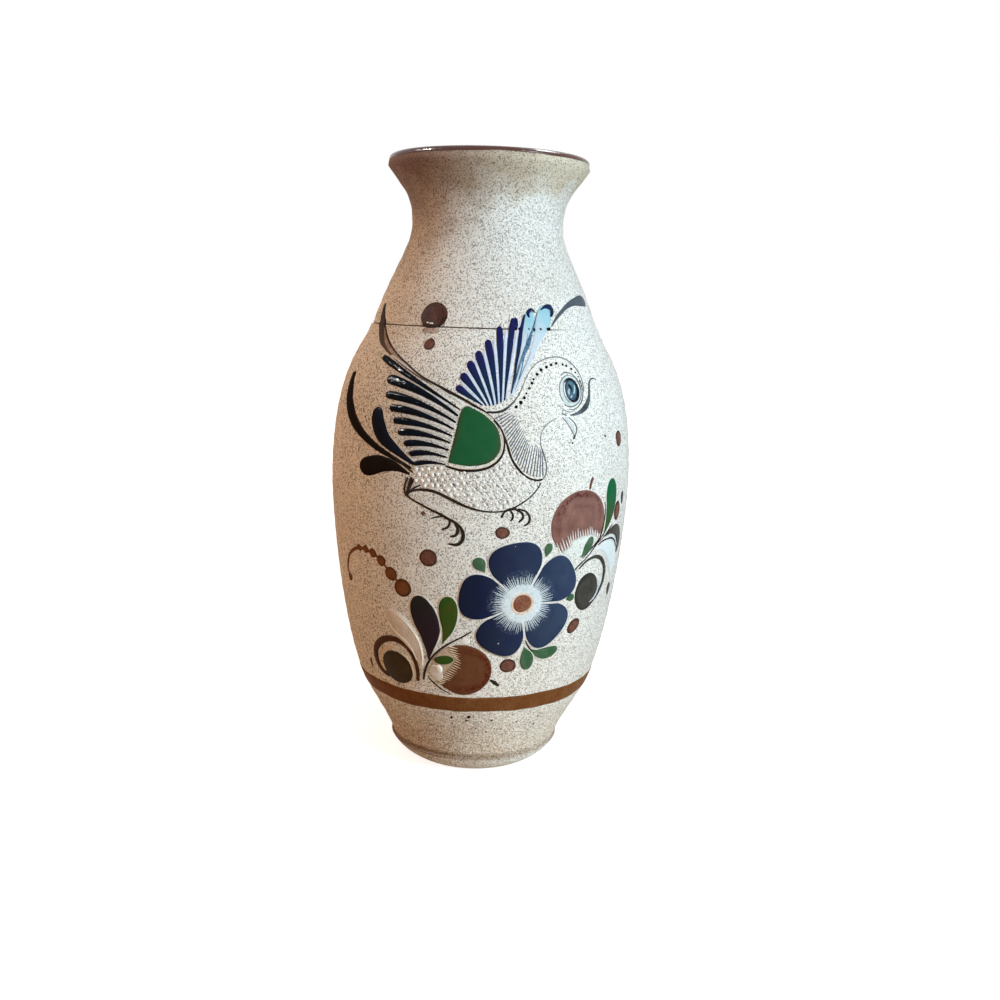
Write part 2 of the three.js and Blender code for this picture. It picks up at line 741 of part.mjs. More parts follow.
const tendrilForm = { width: TENDRIL_WIDTH, root: TENDRIL_WIDTH, shoulder: 0.05 };
const tendrilLine = strokeOn(splineOver(bandTop, TENDRIL_LINE), tendrilForm);
const beads = TENDRIL_BEADS.map(([x, y, radius]) => {
  return drop(bandTop, { centre: [x, y], size: [radius, radius] }, 5);
});
addPiece("bead_tendril", "brown", fused([tendrilLine, ...beads]));

addPiece("seam_disc", "brown", drop(seamZ, SEAM_DISC, 7, 4));
addPiece("bird_eye", "charcoal", drop(seamZ, BIRD_EYE));

export default vase;
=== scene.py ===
import math

import bmesh
import bpy
import numpy as np
from mathutils import Matrix, Vector


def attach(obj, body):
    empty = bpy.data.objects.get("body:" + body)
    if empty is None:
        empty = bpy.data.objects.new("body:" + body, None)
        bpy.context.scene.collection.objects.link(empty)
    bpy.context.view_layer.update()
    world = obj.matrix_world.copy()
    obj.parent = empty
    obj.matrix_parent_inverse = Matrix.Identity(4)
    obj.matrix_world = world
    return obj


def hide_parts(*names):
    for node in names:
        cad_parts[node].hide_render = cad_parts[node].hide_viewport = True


# A stoneware flower vase with raised enamels: its finish, its painted detail and the studio round it.
# Sizes here are in millimetres on the vase and on its unrolled layout sheet, and become metres where a
# mesh is made. A layout point is [distance round, height], with the distance measured on a circle of
# LAYOUT_RADIUS from the middle of the front and to the right.
MM = 0.001
LAYOUT_RADIUS = 70
ROOT = "root"

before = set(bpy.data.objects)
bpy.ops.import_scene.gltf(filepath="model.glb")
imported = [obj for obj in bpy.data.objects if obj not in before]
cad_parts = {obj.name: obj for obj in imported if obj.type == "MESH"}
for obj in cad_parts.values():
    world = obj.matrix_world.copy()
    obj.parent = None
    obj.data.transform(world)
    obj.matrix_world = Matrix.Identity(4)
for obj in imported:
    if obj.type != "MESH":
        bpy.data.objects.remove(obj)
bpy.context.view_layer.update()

# The outside of the vase: radii, heights, leans from upright in degrees, and how far each stretch of
# the outline follows its first and last direction.
FOOT_RING_INNER, FOOT_RING_OUTER, FOOT_HOLLOW_DEPTH = 23.5, 30, 2
FOOT_TOP, FOOT_LINE_TOP, FOOT_STEP = 11.2, 12, 0.8
HEEL_RADIUS, FLANK_RADIUS, BELLY_RADIUS, SEAM_RADIUS = 42.4, 57.7, 74.6, 55.9
FLANK_Z, BELLY_Z, SEAM_Z = 42, 145, 220.4
COLLAR_RADIUS, NECK_RADIUS, LIP_RADIUS = 55.0, 36.7, 48.5
COLLAR_Z, NECK_Z, LIP_Z = 220.9, 268, 295
WALL, LIP_WALL, RIM_HEIGHT = 6, 5, 4.4
FLOOR_Z, FLOOR_FLAT_RADIUS = 11, 26
GLAZE = 0.6
OUTLINE_STEPS = 120


def stretch(start, start_lean, end, end_lean, pulls):
    """Points of a smooth stretch of the outline between two stations."""
    def along(lean):
        return np.array([math.sin(math.radians(lean)), math.cos(math.radians(lean))])
    start, end = np.array(start, float), np.array(end, float)
    leave = start + pulls[0] * along(start_lean)
    arrive = end - pulls[1] * along(end_lean)
    t = np.linspace(0, 1, OUTLINE_STEPS)[:, None]
    return ((1 - t) ** 3 * start + 3 * t * (1 - t) ** 2 * leave
            + 3 * t ** 2 * (1 - t) * arrive + t ** 3 * end)


LOWER_LINE = np.vstack([
    stretch((HEEL_RADIUS, FOOT_LINE_TOP), 19, (FLANK_RADIUS, FLANK_Z), 24, (11, 10)),
    stretch((FLANK_RADIUS, FLANK_Z), 24, (BELLY_RADIUS, BELLY_Z), 0, (30, 15))[1:],
    stretch((BELLY_RADIUS, BELLY_Z), 0, (SEAM_RADIUS, SEAM_Z), -10, (57, 9))[1:],
])
UPPER_LINE = np.vstack([
    stretch((COLLAR_RADIUS, COLLAR_Z), -19, (NECK_RADIUS, NECK_Z), 0, (27, 10)),
    stretch((NECK_RADIUS, NECK_Z), 0, (LIP_RADIUS, LIP_Z), 35, (14, 14))[1:],
])
# The line that enamels lie on runs over the step at the seam in a short bridge.
SEAM_BRIDGE = 1.2
COVER_LINE = np.vstack([LOWER_LINE, UPPER_LINE[UPPER_LINE[:, 1] > COLLAR_Z + SEAM_BRIDGE]])


def cover_radius(z):
    return np.interp(z, COVER_LINE[:, 1], COVER_LINE[:, 0])


def round_axis(radius, angle, height):
    """Points at these radii and heights, at angles from the middle of the front and to the right."""
    x, y, z = np.broadcast_arrays(radius * np.sin(angle), -radius * np.cos(angle), height)
    return np.stack([x, y, z], -1)


def on_wall(around, z, lift):
    """Layout points, lifted off the wall along its normal, in millimetres."""
    lean = np.arctan(cover_radius(z + 0.5) - cover_radius(z - 0.5))
    radius = cover_radius(z) + lift * np.cos(lean)
    return round_axis(radius, around / LAYOUT_RADIUS, z - lift * np.sin(lean))


def srgb(red, green, blue):
    """A colour as it is seen, from 0 to 255, as the linear colour that a shader takes."""
    share = np.array([red, green, blue]) / 255
    linear = np.where(share <= 0.04045, share / 12.92, ((share + 0.055) / 1.055) ** 2.4)
    return (*(float(c) for c in linear), 1.0)


def colours(*seen):
    """Colours as they are seen, as linear ones."""
    return [srgb(*colour) for colour in seen]


# Nodes, for finishes and for geometry.
def grow(tree, kind, inputs=None, **settings):
    """A new node, with its settings, and its inputs as values or as sockets to link."""
    made = tree.nodes.new(kind)
    for key, value in settings.items():
        setattr(made, key, value)
    for key, value in (inputs or {}).items():
        feed(tree, made.inputs[key], value)
    return made


def feed(tree, socket, value):
    """Sets a socket to a value, or links it to another socket."""
    if isinstance(value, bpy.types.NodeSocket):
        tree.links.new(value, socket)
    else:
        socket.default_value = value


def calculate(tree, operation, *values):
    """The result of one arithmetic node."""
    return grow(tree, "ShaderNodeMath", dict(enumerate(values)), operation=operation).outputs[0]


class Finish:
    """A node material whose patterns lie on the object's own coordinates, in metres."""

    def __init__(self, name):
        self.material = bpy.data.materials.new(name)
        self.material.use_nodes = True
        self.tree = self.material.node_tree
        self.shader = self.tree.nodes["Principled BSDF"]
        self.place = self.node("ShaderNodeTexCoord").outputs["Object"]

    def node(self, kind, inputs=None, **settings):
        return grow(self.tree, kind, inputs, **settings)

    def set(self, key, value):
        feed(self.tree, self.shader.inputs[key], value)

    def noise(self, grain_mm, detail, rough=0.5):
        """Noise whose lumps are about grain_mm across."""
        inputs = {"Vector": self.place, "Scale": 1 / (grain_mm * MM), "Detail": detail, "Roughness": rough}
        return self.node("ShaderNodeTexNoise", inputs).outputs["Fac"]

    def cells(self, grain_mm, output="Distance"):
        inputs = {"Vector": self.place, "Scale": 1 / (grain_mm * MM)}
        return self.node("ShaderNodeTexVoronoi", inputs).outputs[output]

    def ramp(self, value, low, high, from_value=0.0, to_value=1.0):
        """Runs from from_value at low to to_value at high, and stays there."""
        inputs = {"Value": value, "From Min": low, "From Max": high}
        inputs.update({"To Min": from_value, "To Max": to_value})
        return self.node("ShaderNodeMapRange", inputs).outputs["Result"]

    def math(self, operation, a, b=0.0):
        return calculate(self.tree, operation, a, b)

    def mix(self, share, a, b):
        return self.node("ShaderNodeMix", {0: share, 6: a, 7: b}, data_type="RGBA").outputs[2]

    def attribute(self, name):
        return self.node("ShaderNodeAttribute", attribute_name=name).outputs["Fac"]

    def split(self, vector):
        return self.node("ShaderNodeSeparateXYZ", {"Vector": vector}).outputs

    def bump(self, height, distance_mm, strength, under=None):
        inputs = {"Height": height, "Distance": distance_mm * MM, "Strength": strength}
        if under is not None:
            inputs["Normal"] = under
        return self.node("ShaderNodeBump", inputs).outputs["Normal"]

    def finish(self, colour=None, roughness=None, normal=None, specular=0.5, ior=1.2):
        for key, value in {"Base Color": colour, "Roughness": roughness, "Normal": normal}.items():
            if value is not None:
                self.set(key, value)
        self.set("Specular IOR Level", specular)
        self.set("IOR", ior)
        return self.material


def stoneware():
    """Unglazed sandy clay: pale sand, brown grog and a few dark iron specks. Under the lip, most on the left,
    it carries a painted shadow of the lip together with a brown fire flash. The foot is painted warmer and
    darker, most on the shaded left, partly its own tone and partly painted shade, with a painted line of
    shade above the foot ring and a painted highlight on the ring, paler towards the lit right. Brown grains
    and specks thin out towards the lit right as painted light. Heights and distances to the side are in
    metres here, as the pattern reads them off the vase."""
    f = Finish("speckled_stoneware")
    place = f.split(f.place)
    side, height = place["X"], place["Z"]
    clay = f.mix(f.ramp(f.noise(38, 3), 0.35, 0.65), srgb(222, 214, 202), srgb(233, 227, 217))
    # Painted shadow of the lip, darkest on the shaded left, together with a brown fire flash.
    lip_shadow_and_flash = f.mix(f.ramp(side, -0.035, 0.03), srgb(116, 74, 50), srgb(214, 196, 166))
    under_lip = f.math("ADD", height, f.ramp(f.noise(14, 3), 0.2, 0.8, -0.010, 0.010))
    under_lip = f.ramp(under_lip, f.ramp(side, -0.04, 0.015, 0.236, 0.279), 0.290)
    clay = f.mix(f.math("MULTIPLY", under_lip, f.ramp(side, -0.03, 0.035, 0.95, 0.75)), clay, lip_shadow_and_flash)
    # A warmer, darker foot, most on the shaded left: partly the clay's own tone, partly painted shade.
    foot = f.math("MULTIPLY", f.ramp(height, 0.040, 0.012), f.ramp(f.noise(16, 3), 0.3, 0.6, 0.4, 1.0))
    foot_tone_and_shade = f.mix(f.ramp(side, -0.035, 0.01), srgb(166, 128, 84), srgb(196, 168, 128))
    clay = f.mix(f.math("MULTIPLY", foot, f.ramp(side, -0.03, 0.03, 0.85, 0.5)), clay, foot_tone_and_shade)
    # Painted highlight on the foot ring, where light from the floor falls, paler towards the lit right.
    ring = f.math("MULTIPLY", f.ramp(height, 0.0112, 0.0100), f.ramp(side, -0.035, -0.008, 0.1, 0.9))
    clay = f.mix(ring, clay, srgb(242, 242, 240))
    # A painted line of shade in the groove above the foot ring, most on the left.
    heel_shade = f.ramp(f.math("ABSOLUTE", f.math("SUBTRACT", height, 0.0118)), 0.0008, 0.0028, 0.9, 0.0)
    heel_shade = f.math("MULTIPLY", heel_shade, f.ramp(side, -0.02, 0.03, 1.0, 0.4))
    clay = f.mix(heel_shade, clay, srgb(128, 98, 70))
    grains = f.split(f.cells(0.44, "Color"))
    pale = f.ramp(grains["X"], 0.55, 0.8)
    # Fewer pale grains where the lip's shadow and flash and the groove's shade are painted.
    pale_share = f.ramp(f.math("MAXIMUM", under_lip, heel_shade), 0, 1, 0.7, 0.1)
    clay = f.mix(f.math("MULTIPLY", pale, pale_share), clay, srgb(250, 248, 244))
    drift = f.ramp(f.noise(2.6, 3, 0.6), 0.32, 0.62, 0.27, 0.15)
    drift = f.math("ADD", drift, f.ramp(height, 0.046, 0.030, 0.0, 0.09))
    brown = f.math("GREATER_THAN", drift, grains["Y"])
    # Fewer brown grains towards the lit right: painted light washing them out.
    clay = f.mix(f.math("MULTIPLY", brown, f.ramp(side, -0.05, 0.05, 0.85, 0.55)), clay, srgb(88, 66, 52))
    round_specks = f.ramp(f.cells(1.2), 0.32, 0.2)
    chosen = f.math("GREATER_THAN", f.split(f.cells(1.2, "Color"))["X"], 0.62)
    specks = f.math("MULTIPLY", round_specks, chosen)
    # Fewer dark specks towards the lit right, as painted light.
    clay = f.mix(f.math("MULTIPLY", specks, f.ramp(side, -0.05, 0.05, 0.8, 0.5)), clay, srgb(80, 60, 48))
    rough = f.bump(f.math("SUBTRACT", pale, brown), 0.14, 0.5)
    rough = f.bump(f.noise(0.9, 3, 0.7), 0.2, 0.5, rough)
    return f.finish(clay, 0.9, rough, 0.2, 1.4)


def across_edge(f):
    """How near the side edge of a stroke is, from 0 in its middle to 1 at its edge, and the share of its
    length from its head."""
    lay = f.split(f.node("ShaderNodeUVMap", uv_map="lay").outputs["UV"])
    return f.math("ABSOLUTE", f.math("SUBTRACT", f.math("MULTIPLY", lay["X"], 2), 1)), lay["Y"]


def glaze(name, body, thin, rim, roughness=0.18, specular=0.1, pooling=0.45, ripple=0.10, break_up=0.05,
          ior=1.2):
    """A glossy enamel that pools dark in its middle and thins to a lighter tint in patches and at its rim."""
    f = Finish(name)
    body, thin, rim = colours(body, thin, rim)
    edge, _ = across_edge(f)
    pools = f.ramp(f.noise(5, 3), 0.35, 0.7)
    colour = f.mix(f.math("MULTIPLY", pools, pooling), body, thin)
    colour = f.mix(f.ramp(edge, 0.72, 1.0, 0.0, 0.8), colour, rim)
    waves = f.bump(f.noise(3.2, 2), ripple, 0.6)
    waves = f.bump(f.noise(1.1, 1), break_up, 0.5, waves)
    gloss = f.ramp(f.noise(1.6, 2), 0.3, 0.7, roughness, roughness + 0.1)
    return f.finish(colour, gloss, waves, specular, ior)


def petal_enamel():
    """Navy enamel for the petals, lighter towards the right as a painted sheen of the window, and hazed with
    fine white slip near the ring.
    """
    f = Finish("petal_enamel")
    edge, along = across_edge(f)
    # Painted sheen of the window: the petals are lighter towards the right.
    colour = f.mix(f.ramp(f.split(f.place)["X"], 0.0, 0.045), srgb(27, 32, 53), srgb(57, 70, 92))
    colour = f.mix(f.math("MULTIPLY", f.ramp(f.noise(9, 3), 0.4, 0.65), 0.3), colour, srgb(26, 30, 72))
    colour = f.mix(f.ramp(edge, 0.8, 1.0, 0.0, 0.6), colour, srgb(16, 18, 34))
    haze = f.math("MULTIPLY", f.ramp(along, 0.40, 0.16), f.ramp(f.noise(0.7, 2, 0.6), 0.45, 0.65))
    colour = f.mix(f.math("MULTIPLY", haze, 0.38), colour, srgb(170, 188, 200))
    waves = f.bump(f.noise(3.2, 2), 0.1, 0.6)
    return f.finish(colour, 0.22, waves, 0.05)


def spot_slip(name, middle, body, rim):
    """A brushed brown spot, paler in its middle and darker where it pooled at its rim."""
    f = Finish(name)
    middle, body, rim = colours(middle, body, rim)
    edge, _ = across_edge(f)
    colour = f.mix(f.ramp(f.noise(2.2, 3, 0.6), 0.35, 0.65), middle, body)
    colour = f.mix(f.ramp(edge, 0.62, 0.92), colour, rim)
    return f.finish(colour, 0.5, f.bump(f.noise(0.9, 2, 0.6), 0.15, 0.4), 0.05)


def seam_line():
    """Iron-brown slip in the joint, with painted shade that darkens it on the left and fades to pale clay on
    the lit right.
    """
    f = Finish("seam_slip_and_shade")
    dark = f.mix(f.ramp(f.noise(3, 3), 0.35, 0.65), srgb(60, 44, 34), srgb(112, 90, 74))
    # Painted shade in the joint on the left, faded to pale clay on the lit right.
    colour = f.mix(f.ramp(f.split(f.place)["X"], 0.026, 0.04), dark, srgb(232, 228, 222))
    return f.finish(colour, 0.8, None, 0.05)


def slip(name, body, dark, light, roughness, mottle_mm=1.2, depth=0.55, specular=0.06):
    """A painted slip: matt to satin, mottled by the sand under it."""
    f = Finish(name)
    body, dark, light = colours(body, dark, light)
    colour = f.mix(f.ramp(f.noise(6, 3), 0.3, 0.7), body, light)
    colour = f.mix(f.math("MULTIPLY", f.ramp(f.noise(mottle_mm, 3, 0.6), 0.48, 0.34), depth), colour, dark)
    sand = f.bump(f.noise(0.9, 2, 0.6), 0.15, 0.4)
    return f.finish(colour, roughness, sand, specular)


def fruit_slip(name, body, dark, light, pale):
    """Brown slip for a fruit: darker mottling towards its far side, and bare pale clay on its near side."""
    f = Finish(name)
    body, dark, light, pale = colours(body, dark, light, pale)
    colour = f.mix(f.ramp(f.noise(5, 3), 0.3, 0.7), body, light)
    depth = f.attribute("depth")
    outer = f.ramp(f.math("ABSOLUTE", f.math("SUBTRACT", depth, 2.8)), 0.8, 2.8, 1.0, 0.0)
    inner = f.ramp(f.math("ABSOLUTE", f.math("SUBTRACT", depth, 8.6)), 0.2, 1.2, 0.3, 0.0)
    arcs = f.math("MULTIPLY", f.math("ADD", outer, inner), f.attribute("far"))
    mottle = f.ramp(f.noise(1.4, 4, 0.7), 0.62, 0.42)
    colour = f.mix(f.math("MULTIPLY", f.math("MULTIPLY", mottle, arcs), 0.9), colour, dark)
    clay = f.mix(f.ramp(f.noise(0.8, 2.5, 0.65), 0.48, 0.38, 0.0, 0.5), pale, srgb(126, 104, 84))
    colour = f.mix(f.attribute("pale"), colour, clay)
    sand = f.bump(f.noise(0.9, 2, 0.6), 0.15, 0.35)
    return f.finish(colour, 0.5, sand, 0.06)


def two_tone(name, tip, root, roughness, start, end):
    """An enamel that changes colour along the stroke, from its head to its root."""
    f = Finish(name)
    tip, root = colours(tip, root)
    _, along = across_edge(f)
    wander = f.math("ADD", along, f.ramp(f.noise(3, 2), 0, 1, -0.15, 0.15))
    colour = f.mix(f.ramp(wander, start, end), tip, root)
    return f.finish(colour, roughness, f.bump(f.noise(3, 2), 0.1, 0.6), 0.05)


# The finishes of this vase. A glaze names its pooled, thin and rim colours, and a slip its plain, dark and
# light ones, all from 0 to 255.
CLAY = stoneware()
SEAM_SLIP_AND_SHADE = seam_line()
NAVY = glaze("navy_enamel", (26, 28, 40), (30, 37, 54), (20, 26, 28), ior=1.1)
PETAL = petal_enamel()
PLUM = two_tone("plum_enamel", (40, 38, 36), (46, 34, 40), 0.2, 0.1, 0.45)
FEATHER_NAVY = two_tone("feather_navy_enamel", (32, 33, 82), (26, 46, 72), 0.25, 0.15, 0.6)
FEATHER_DARK = glaze(
    "feather_dark_enamel", (14, 18, 24), (20, 30, 50), (20, 22, 20), 0.06, 0.08, ripple=0.5, break_up=0.4,
)
GREEN = glaze("green_enamel", (30, 86, 50), (44, 94, 60), (64, 66, 44), 0.28)
LEAF_GREEN = glaze("leaf_green_enamel", (40, 80, 28), (76, 74, 28), (44, 60, 26), 0.28, pooling=0.9)
SPRIG_GREEN = glaze("sprig_green_enamel", (56, 90, 60), (92, 112, 88), (34, 46, 30), 0.28, pooling=0.9)
TALL_GREEN = two_tone("tall_leaf_enamel", (22, 92, 56), (56, 82, 44), 0.25, 0.25, 0.7)
CHARCOAL = glaze("charcoal_enamel", (31, 25, 23), (42, 34, 31), (28, 23, 21), 0.4, ior=1.05)
GREY = glaze("grey_enamel", (76, 84, 90), (98, 106, 114), (50, 54, 58), 0.3)
EYE_BROWN = slip("flower_eye_brown", (128, 76, 58), (84, 42, 30), (146, 104, 84), 0.45, 0.9, 0.8)
BEAK = glaze("beak_enamel", (48, 52, 56), (112, 118, 126), (34, 38, 42), 0.3, pooling=0.7)
OLIVE = glaze("olive_enamel", (60, 46, 24), (72, 58, 36), (42, 30, 16), 0.35)
SCROLL = glaze("brown_scroll_enamel", (68, 40, 16), (86, 54, 26), (46, 26, 12), 0.35)
SLATE = glaze("slate_enamel", (54, 51, 46), (78, 74, 68), (42, 40, 36), 0.3, pooling=0.8)
WING_BAND = two_tone("wing_band_slip", (56, 48, 42), (86, 72, 66), 0.5, 0.02, 0.3)
TEAL = slip("teal_line", (70, 104, 132), (40, 70, 98), (106, 142, 164), 0.35, 0.9, 0.9)
LINE = slip("brown_black_line", (44, 34, 28), (26, 22, 20), (58, 46, 38), 0.45)
GREY_LINE = slip("grey_line", (100, 102, 104), (72, 76, 80), (128, 130, 130), 0.5)
HATCH_LINE = slip("hatch_line", (78, 82, 94), (52, 54, 66), (108, 112, 122), 0.5)
NECK_TONE = two_tone("neck_line_slip", (48, 42, 40), (100, 102, 104), 0.5, 0.08, 0.3)
BROWN = slip("brown_slip", (110, 66, 32), (78, 42, 20), (124, 82, 50), 0.5, 0.8, 0.7)
BEAD_BROWN = spot_slip("bead_brown_slip", (128, 82, 50), (114, 66, 38), (70, 38, 20))
SPOT = spot_slip("spot_slip", (122, 86, 72), (102, 60, 48), (66, 40, 34))
FADED = slip("faded_brown_slip", (150, 118, 104), (120, 88, 74), (196, 176, 162), 0.5, 1.4, 0.8)
DISC = slip("pooled_brown_glaze", (68, 38, 30), (44, 24, 18), (100, 68, 56), 0.5, 0.8, 0.9)
LOWER_FRUIT = fruit_slip("lower_fruit_slip", (100, 62, 38), (84, 26, 18), (108, 68, 46), (200, 178, 156))
UPPER_FRUIT = fruit_slip("upper_fruit_slip", (116, 82, 74), (80, 32, 34), (140, 100, 88), (226, 228, 220))
WHITE = slip("white_slip", (236, 236, 230), (212, 216, 216), (244, 244, 240), 0.4)
COOL_WHITE = slip("cool_white_slip", (208, 216, 218), (166, 182, 192), (226, 230, 230), 0.4, 0.7, 0.9)
WARM_WHITE = slip("warm_white_slip", (228, 214, 196), (200, 182, 160), (240, 230, 214), 0.4)
# White slip for beads and dabs, also used for painted highlights on the seam pool.
BEAD_WHITE_AND_GLINT = slip("bead_slip_and_glint", (240, 236, 230), (216, 210, 200), (248, 245, 240), 0.35)
CLEAR = slip("clear_white_enamel", (206, 192, 178), (168, 150, 134), (234, 228, 220), 0.3, 0.8, 0.6, 0.3)
COOL_CLEAR = glaze("cool_white_enamel", (212, 220, 218), (226, 228, 226), (206, 210, 216), 0.25, 0.15)
# A pale enamel whose blue at the head is a painted reflection of the sky, whitening towards the root.
SKY_REFLECTION_TO_WHITE = two_tone("pale_enamel_with_sky_reflection", (148, 194, 204), (200, 208, 216), 0.3, 0.1, 0.42)
EYE_BLUE = glaze("eye_blue_enamel", (64, 94, 110), (104, 132, 144), (34, 52, 68), 0.12, 0.15, 0.7)
EYE_DARK = glaze("eye_dark_enamel", (14, 24, 34), (30, 44, 56), (18, 28, 38), 0.12, 0.15)
# Painted highlights on the glossy eye.
EYE_GLINT_PAINT = slip("eye_painted_glints", (176, 196, 200), (128, 152, 160), (206, 220, 220), 0.3, 0.9)
EYE_WASH = slip("eye_blue_wash", (196, 205, 202), (156, 172, 178), (214, 216, 212), 0.5, 0.9, 0.7)
BEAK_WASH = slip("beak_wash", (204, 206, 207), (174, 178, 182), (219, 218, 215), 0.5)
GAP_GREY = slip("grey_white_gap_slip", (208, 208, 206), (150, 148, 146), (224, 224, 222), 0.5, 0.9, 0.7)
GAP_WHITE = slip(
    "lavender_white_gap_slip", (204, 210, 226), (168, 178, 200), (222, 226, 234), 0.5, 0.9, 0.7,
)
LINER = glaze(
    "brown_liner_glaze", (88, 47, 34), (114, 68, 50), (84, 46, 34), 0.08, 0.5, ripple=0.4, break_up=0.3,
    ior=1.42,
)
CREAM_LINE = slip("cream_line", (222, 198, 166), (196, 166, 134), (232, 212, 184), 0.5)
PALE_ORANGE = slip("pale_orange_slip", (222, 196, 174), (196, 158, 132), (232, 214, 196), 0.4, 0.9, 0.8)
RESIST = slip("bare_clay_line", (214, 208, 198), (170, 160, 144), (228, 224, 216), 0.7, 0.8, 0.8)


# Meshes. Points that lie closer than this are merged.
MERGE_DISTANCE = 0.001


def make_piece(name, vertices, faces, material, replaces, uv=None, marks=None, sharp=None):
    """A closed mesh from points in millimetres, merged at its poles and turned to face outwards."""
    mesh = bpy.data.meshes.new(name)
    mesh.from_pydata(np.asarray(vertices, float) * MM, [], faces)
    if uv is not None:
        corner = np.zeros(len(mesh.loops), np.int32)
        mesh.loops.foreach_get("vertex_index", corner)
        layer = mesh.uv_layers.new(name="lay")
        layer.data.foreach_set("uv", np.asarray(uv, np.float32)[corner].ravel())
    for key, values in (marks or {}).items():
        mark = mesh.attributes.new(key, "FLOAT", "POINT")
        mark.data.foreach_set("value", np.asarray(values, np.float32).ravel())
    shape = bmesh.new()
    shape.from_mesh(mesh)
    bmesh.ops.remove_doubles(shape, verts=shape.verts, dist=MERGE_DISTANCE * MM)
    bmesh.ops.recalc_face_normals(shape, faces=shape.faces)
    shape.to_mesh(mesh)
    shape.free()
    mesh.polygons.foreach_set("use_smooth", np.ones(len(mesh.polygons), bool))
    if sharp is not None:
        mesh.set_sharp_from_angle(angle=math.radians(sharp))
    mesh.materials.append(material)
    piece = bpy.data.objects.new(name, mesh)
    bpy.context.scene.collection.objects.link(piece)
    return settle(piece, replaces)


def settle(piece, replaces=()):
    """Puts a piece on the vase's one body and the CAD nodes that it stands for."""
    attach(piece, ROOT)
    if replaces:
        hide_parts(*replaces)
    return piece


def dome(place, power):
    """The section of a raised piece: 1 in its middle and 0 at -1 and 1, and flatter for a higher power."""
    return np.sqrt(np.clip(1 - np.abs(place) ** power, 0, 1))


def numbered(rows, cols, round_rows=False, round_cols=True):
    """The numbers of a grid of points. It may come round to its first column, and to its first row."""
    index = np.arange(rows * cols).reshape(rows, cols)
    if round_cols:
        index = np.hstack([index, index[:, :1]])
    if round_rows:
        index = np.vstack([index, index[:1]])
    return index


def quads(index):
    """The faces between neighbours in a grid of point numbers."""
    return np.stack([index[:-1, :-1], index[:-1, 1:], index[1:, 1:], index[1:, :-1]], -1).reshape(-1, 4)


def cushion(around, z, height, base=0.0, sink=0.2, wrap=False):
    """A closed body on the wall from a grid of layout points: its top lies base + height off the wall and its
    underside sits sink into it. The grid's columns meet when it wraps. Returns vertices, faces and UVs."""
    rows, cols = around.shape
    top = on_wall(around, z, base + height).reshape(-1, 3)
    under = on_wall(around, z, np.full_like(z, base - sink)).reshape(-1, 3)
    index = numbered(rows, cols, round_cols=wrap)
    tops = quads(index)
    below = rows * cols
    borders = [index[0], index[-1][::-1]]
    if not wrap:
        borders += [index[::-1, 0], index[:, -1]]
    walls = [np.stack([line[:-1], line[:-1] + below, line[1:] + below, line[1:]], -1) for line in borders]
    faces = np.vstack([tops, tops[:, ::-1] + below, *walls])
    side, along = np.meshgrid(np.linspace(0, 1, cols), np.linspace(0, 1, rows))
    uv = np.stack([side, along], -1).reshape(-1, 2)
    return np.vstack([top, under]), faces, np.vstack([uv, uv])


# How finely a line is worked out between two of its points, how finely a stroke is, and how much the rows of
# a stroke crowd at its ends.
SPAN_STEPS, STROKE_STEPS, CROWDING = 40, 400, 0.35


def spline(points, count):
    """A smooth line through the points, as count places at equal distances, and its length."""
    p = np.asarray(points, float)
    if len(p) == 2:
        share = np.linspace(0, 1, count)
        return p[0] + (p[1] - p[0]) * share[:, None], np.linalg.norm(p[1] - p[0])
    padded = np.vstack([p[:1], p, p[-1:]])
    t = np.linspace(0, 1, SPAN_STEPS, endpoint=False)[:, None]
    parts = []
    for i in range(len(p) - 1):
        p0, p1, p2, p3 = padded[i:i + 4]
        v0, v1 = (p2 - p0) / 2, (p3 - p1) / 2
        cubic = 2 * p1 - 2 * p2 + v0 + v1
        square = 3 * p2 - 3 * p1 - 2 * v0 - v1
        parts.append(cubic * t ** 3 + square * t ** 2 + v0 * t + p1)
    fine = np.vstack([*parts, p[-1:]])
    run = np.concatenate([[0], np.cumsum(np.linalg.norm(np.diff(fine, axis=0), axis=1))])
    at = np.linspace(0, run[-1], count)
    return np.stack([np.interp(at, run, fine[:, k]) for k in range(2)], -1), run[-1]


def stroke_width(t, width, root, shoulder, taper):
    """The width of a brush stroke at t along it: a round head, its widest place, and a taper to its root."""
    head = width * np.sqrt(np.clip(1 - ((shoulder - t) / shoulder) ** 2, 0, 1))
    x = np.clip((t - shoulder) / (1 - shoulder), 0, 1)
    return np.where(t < shoulder, head, root + (width - root) * (1 - x * x) ** taper)


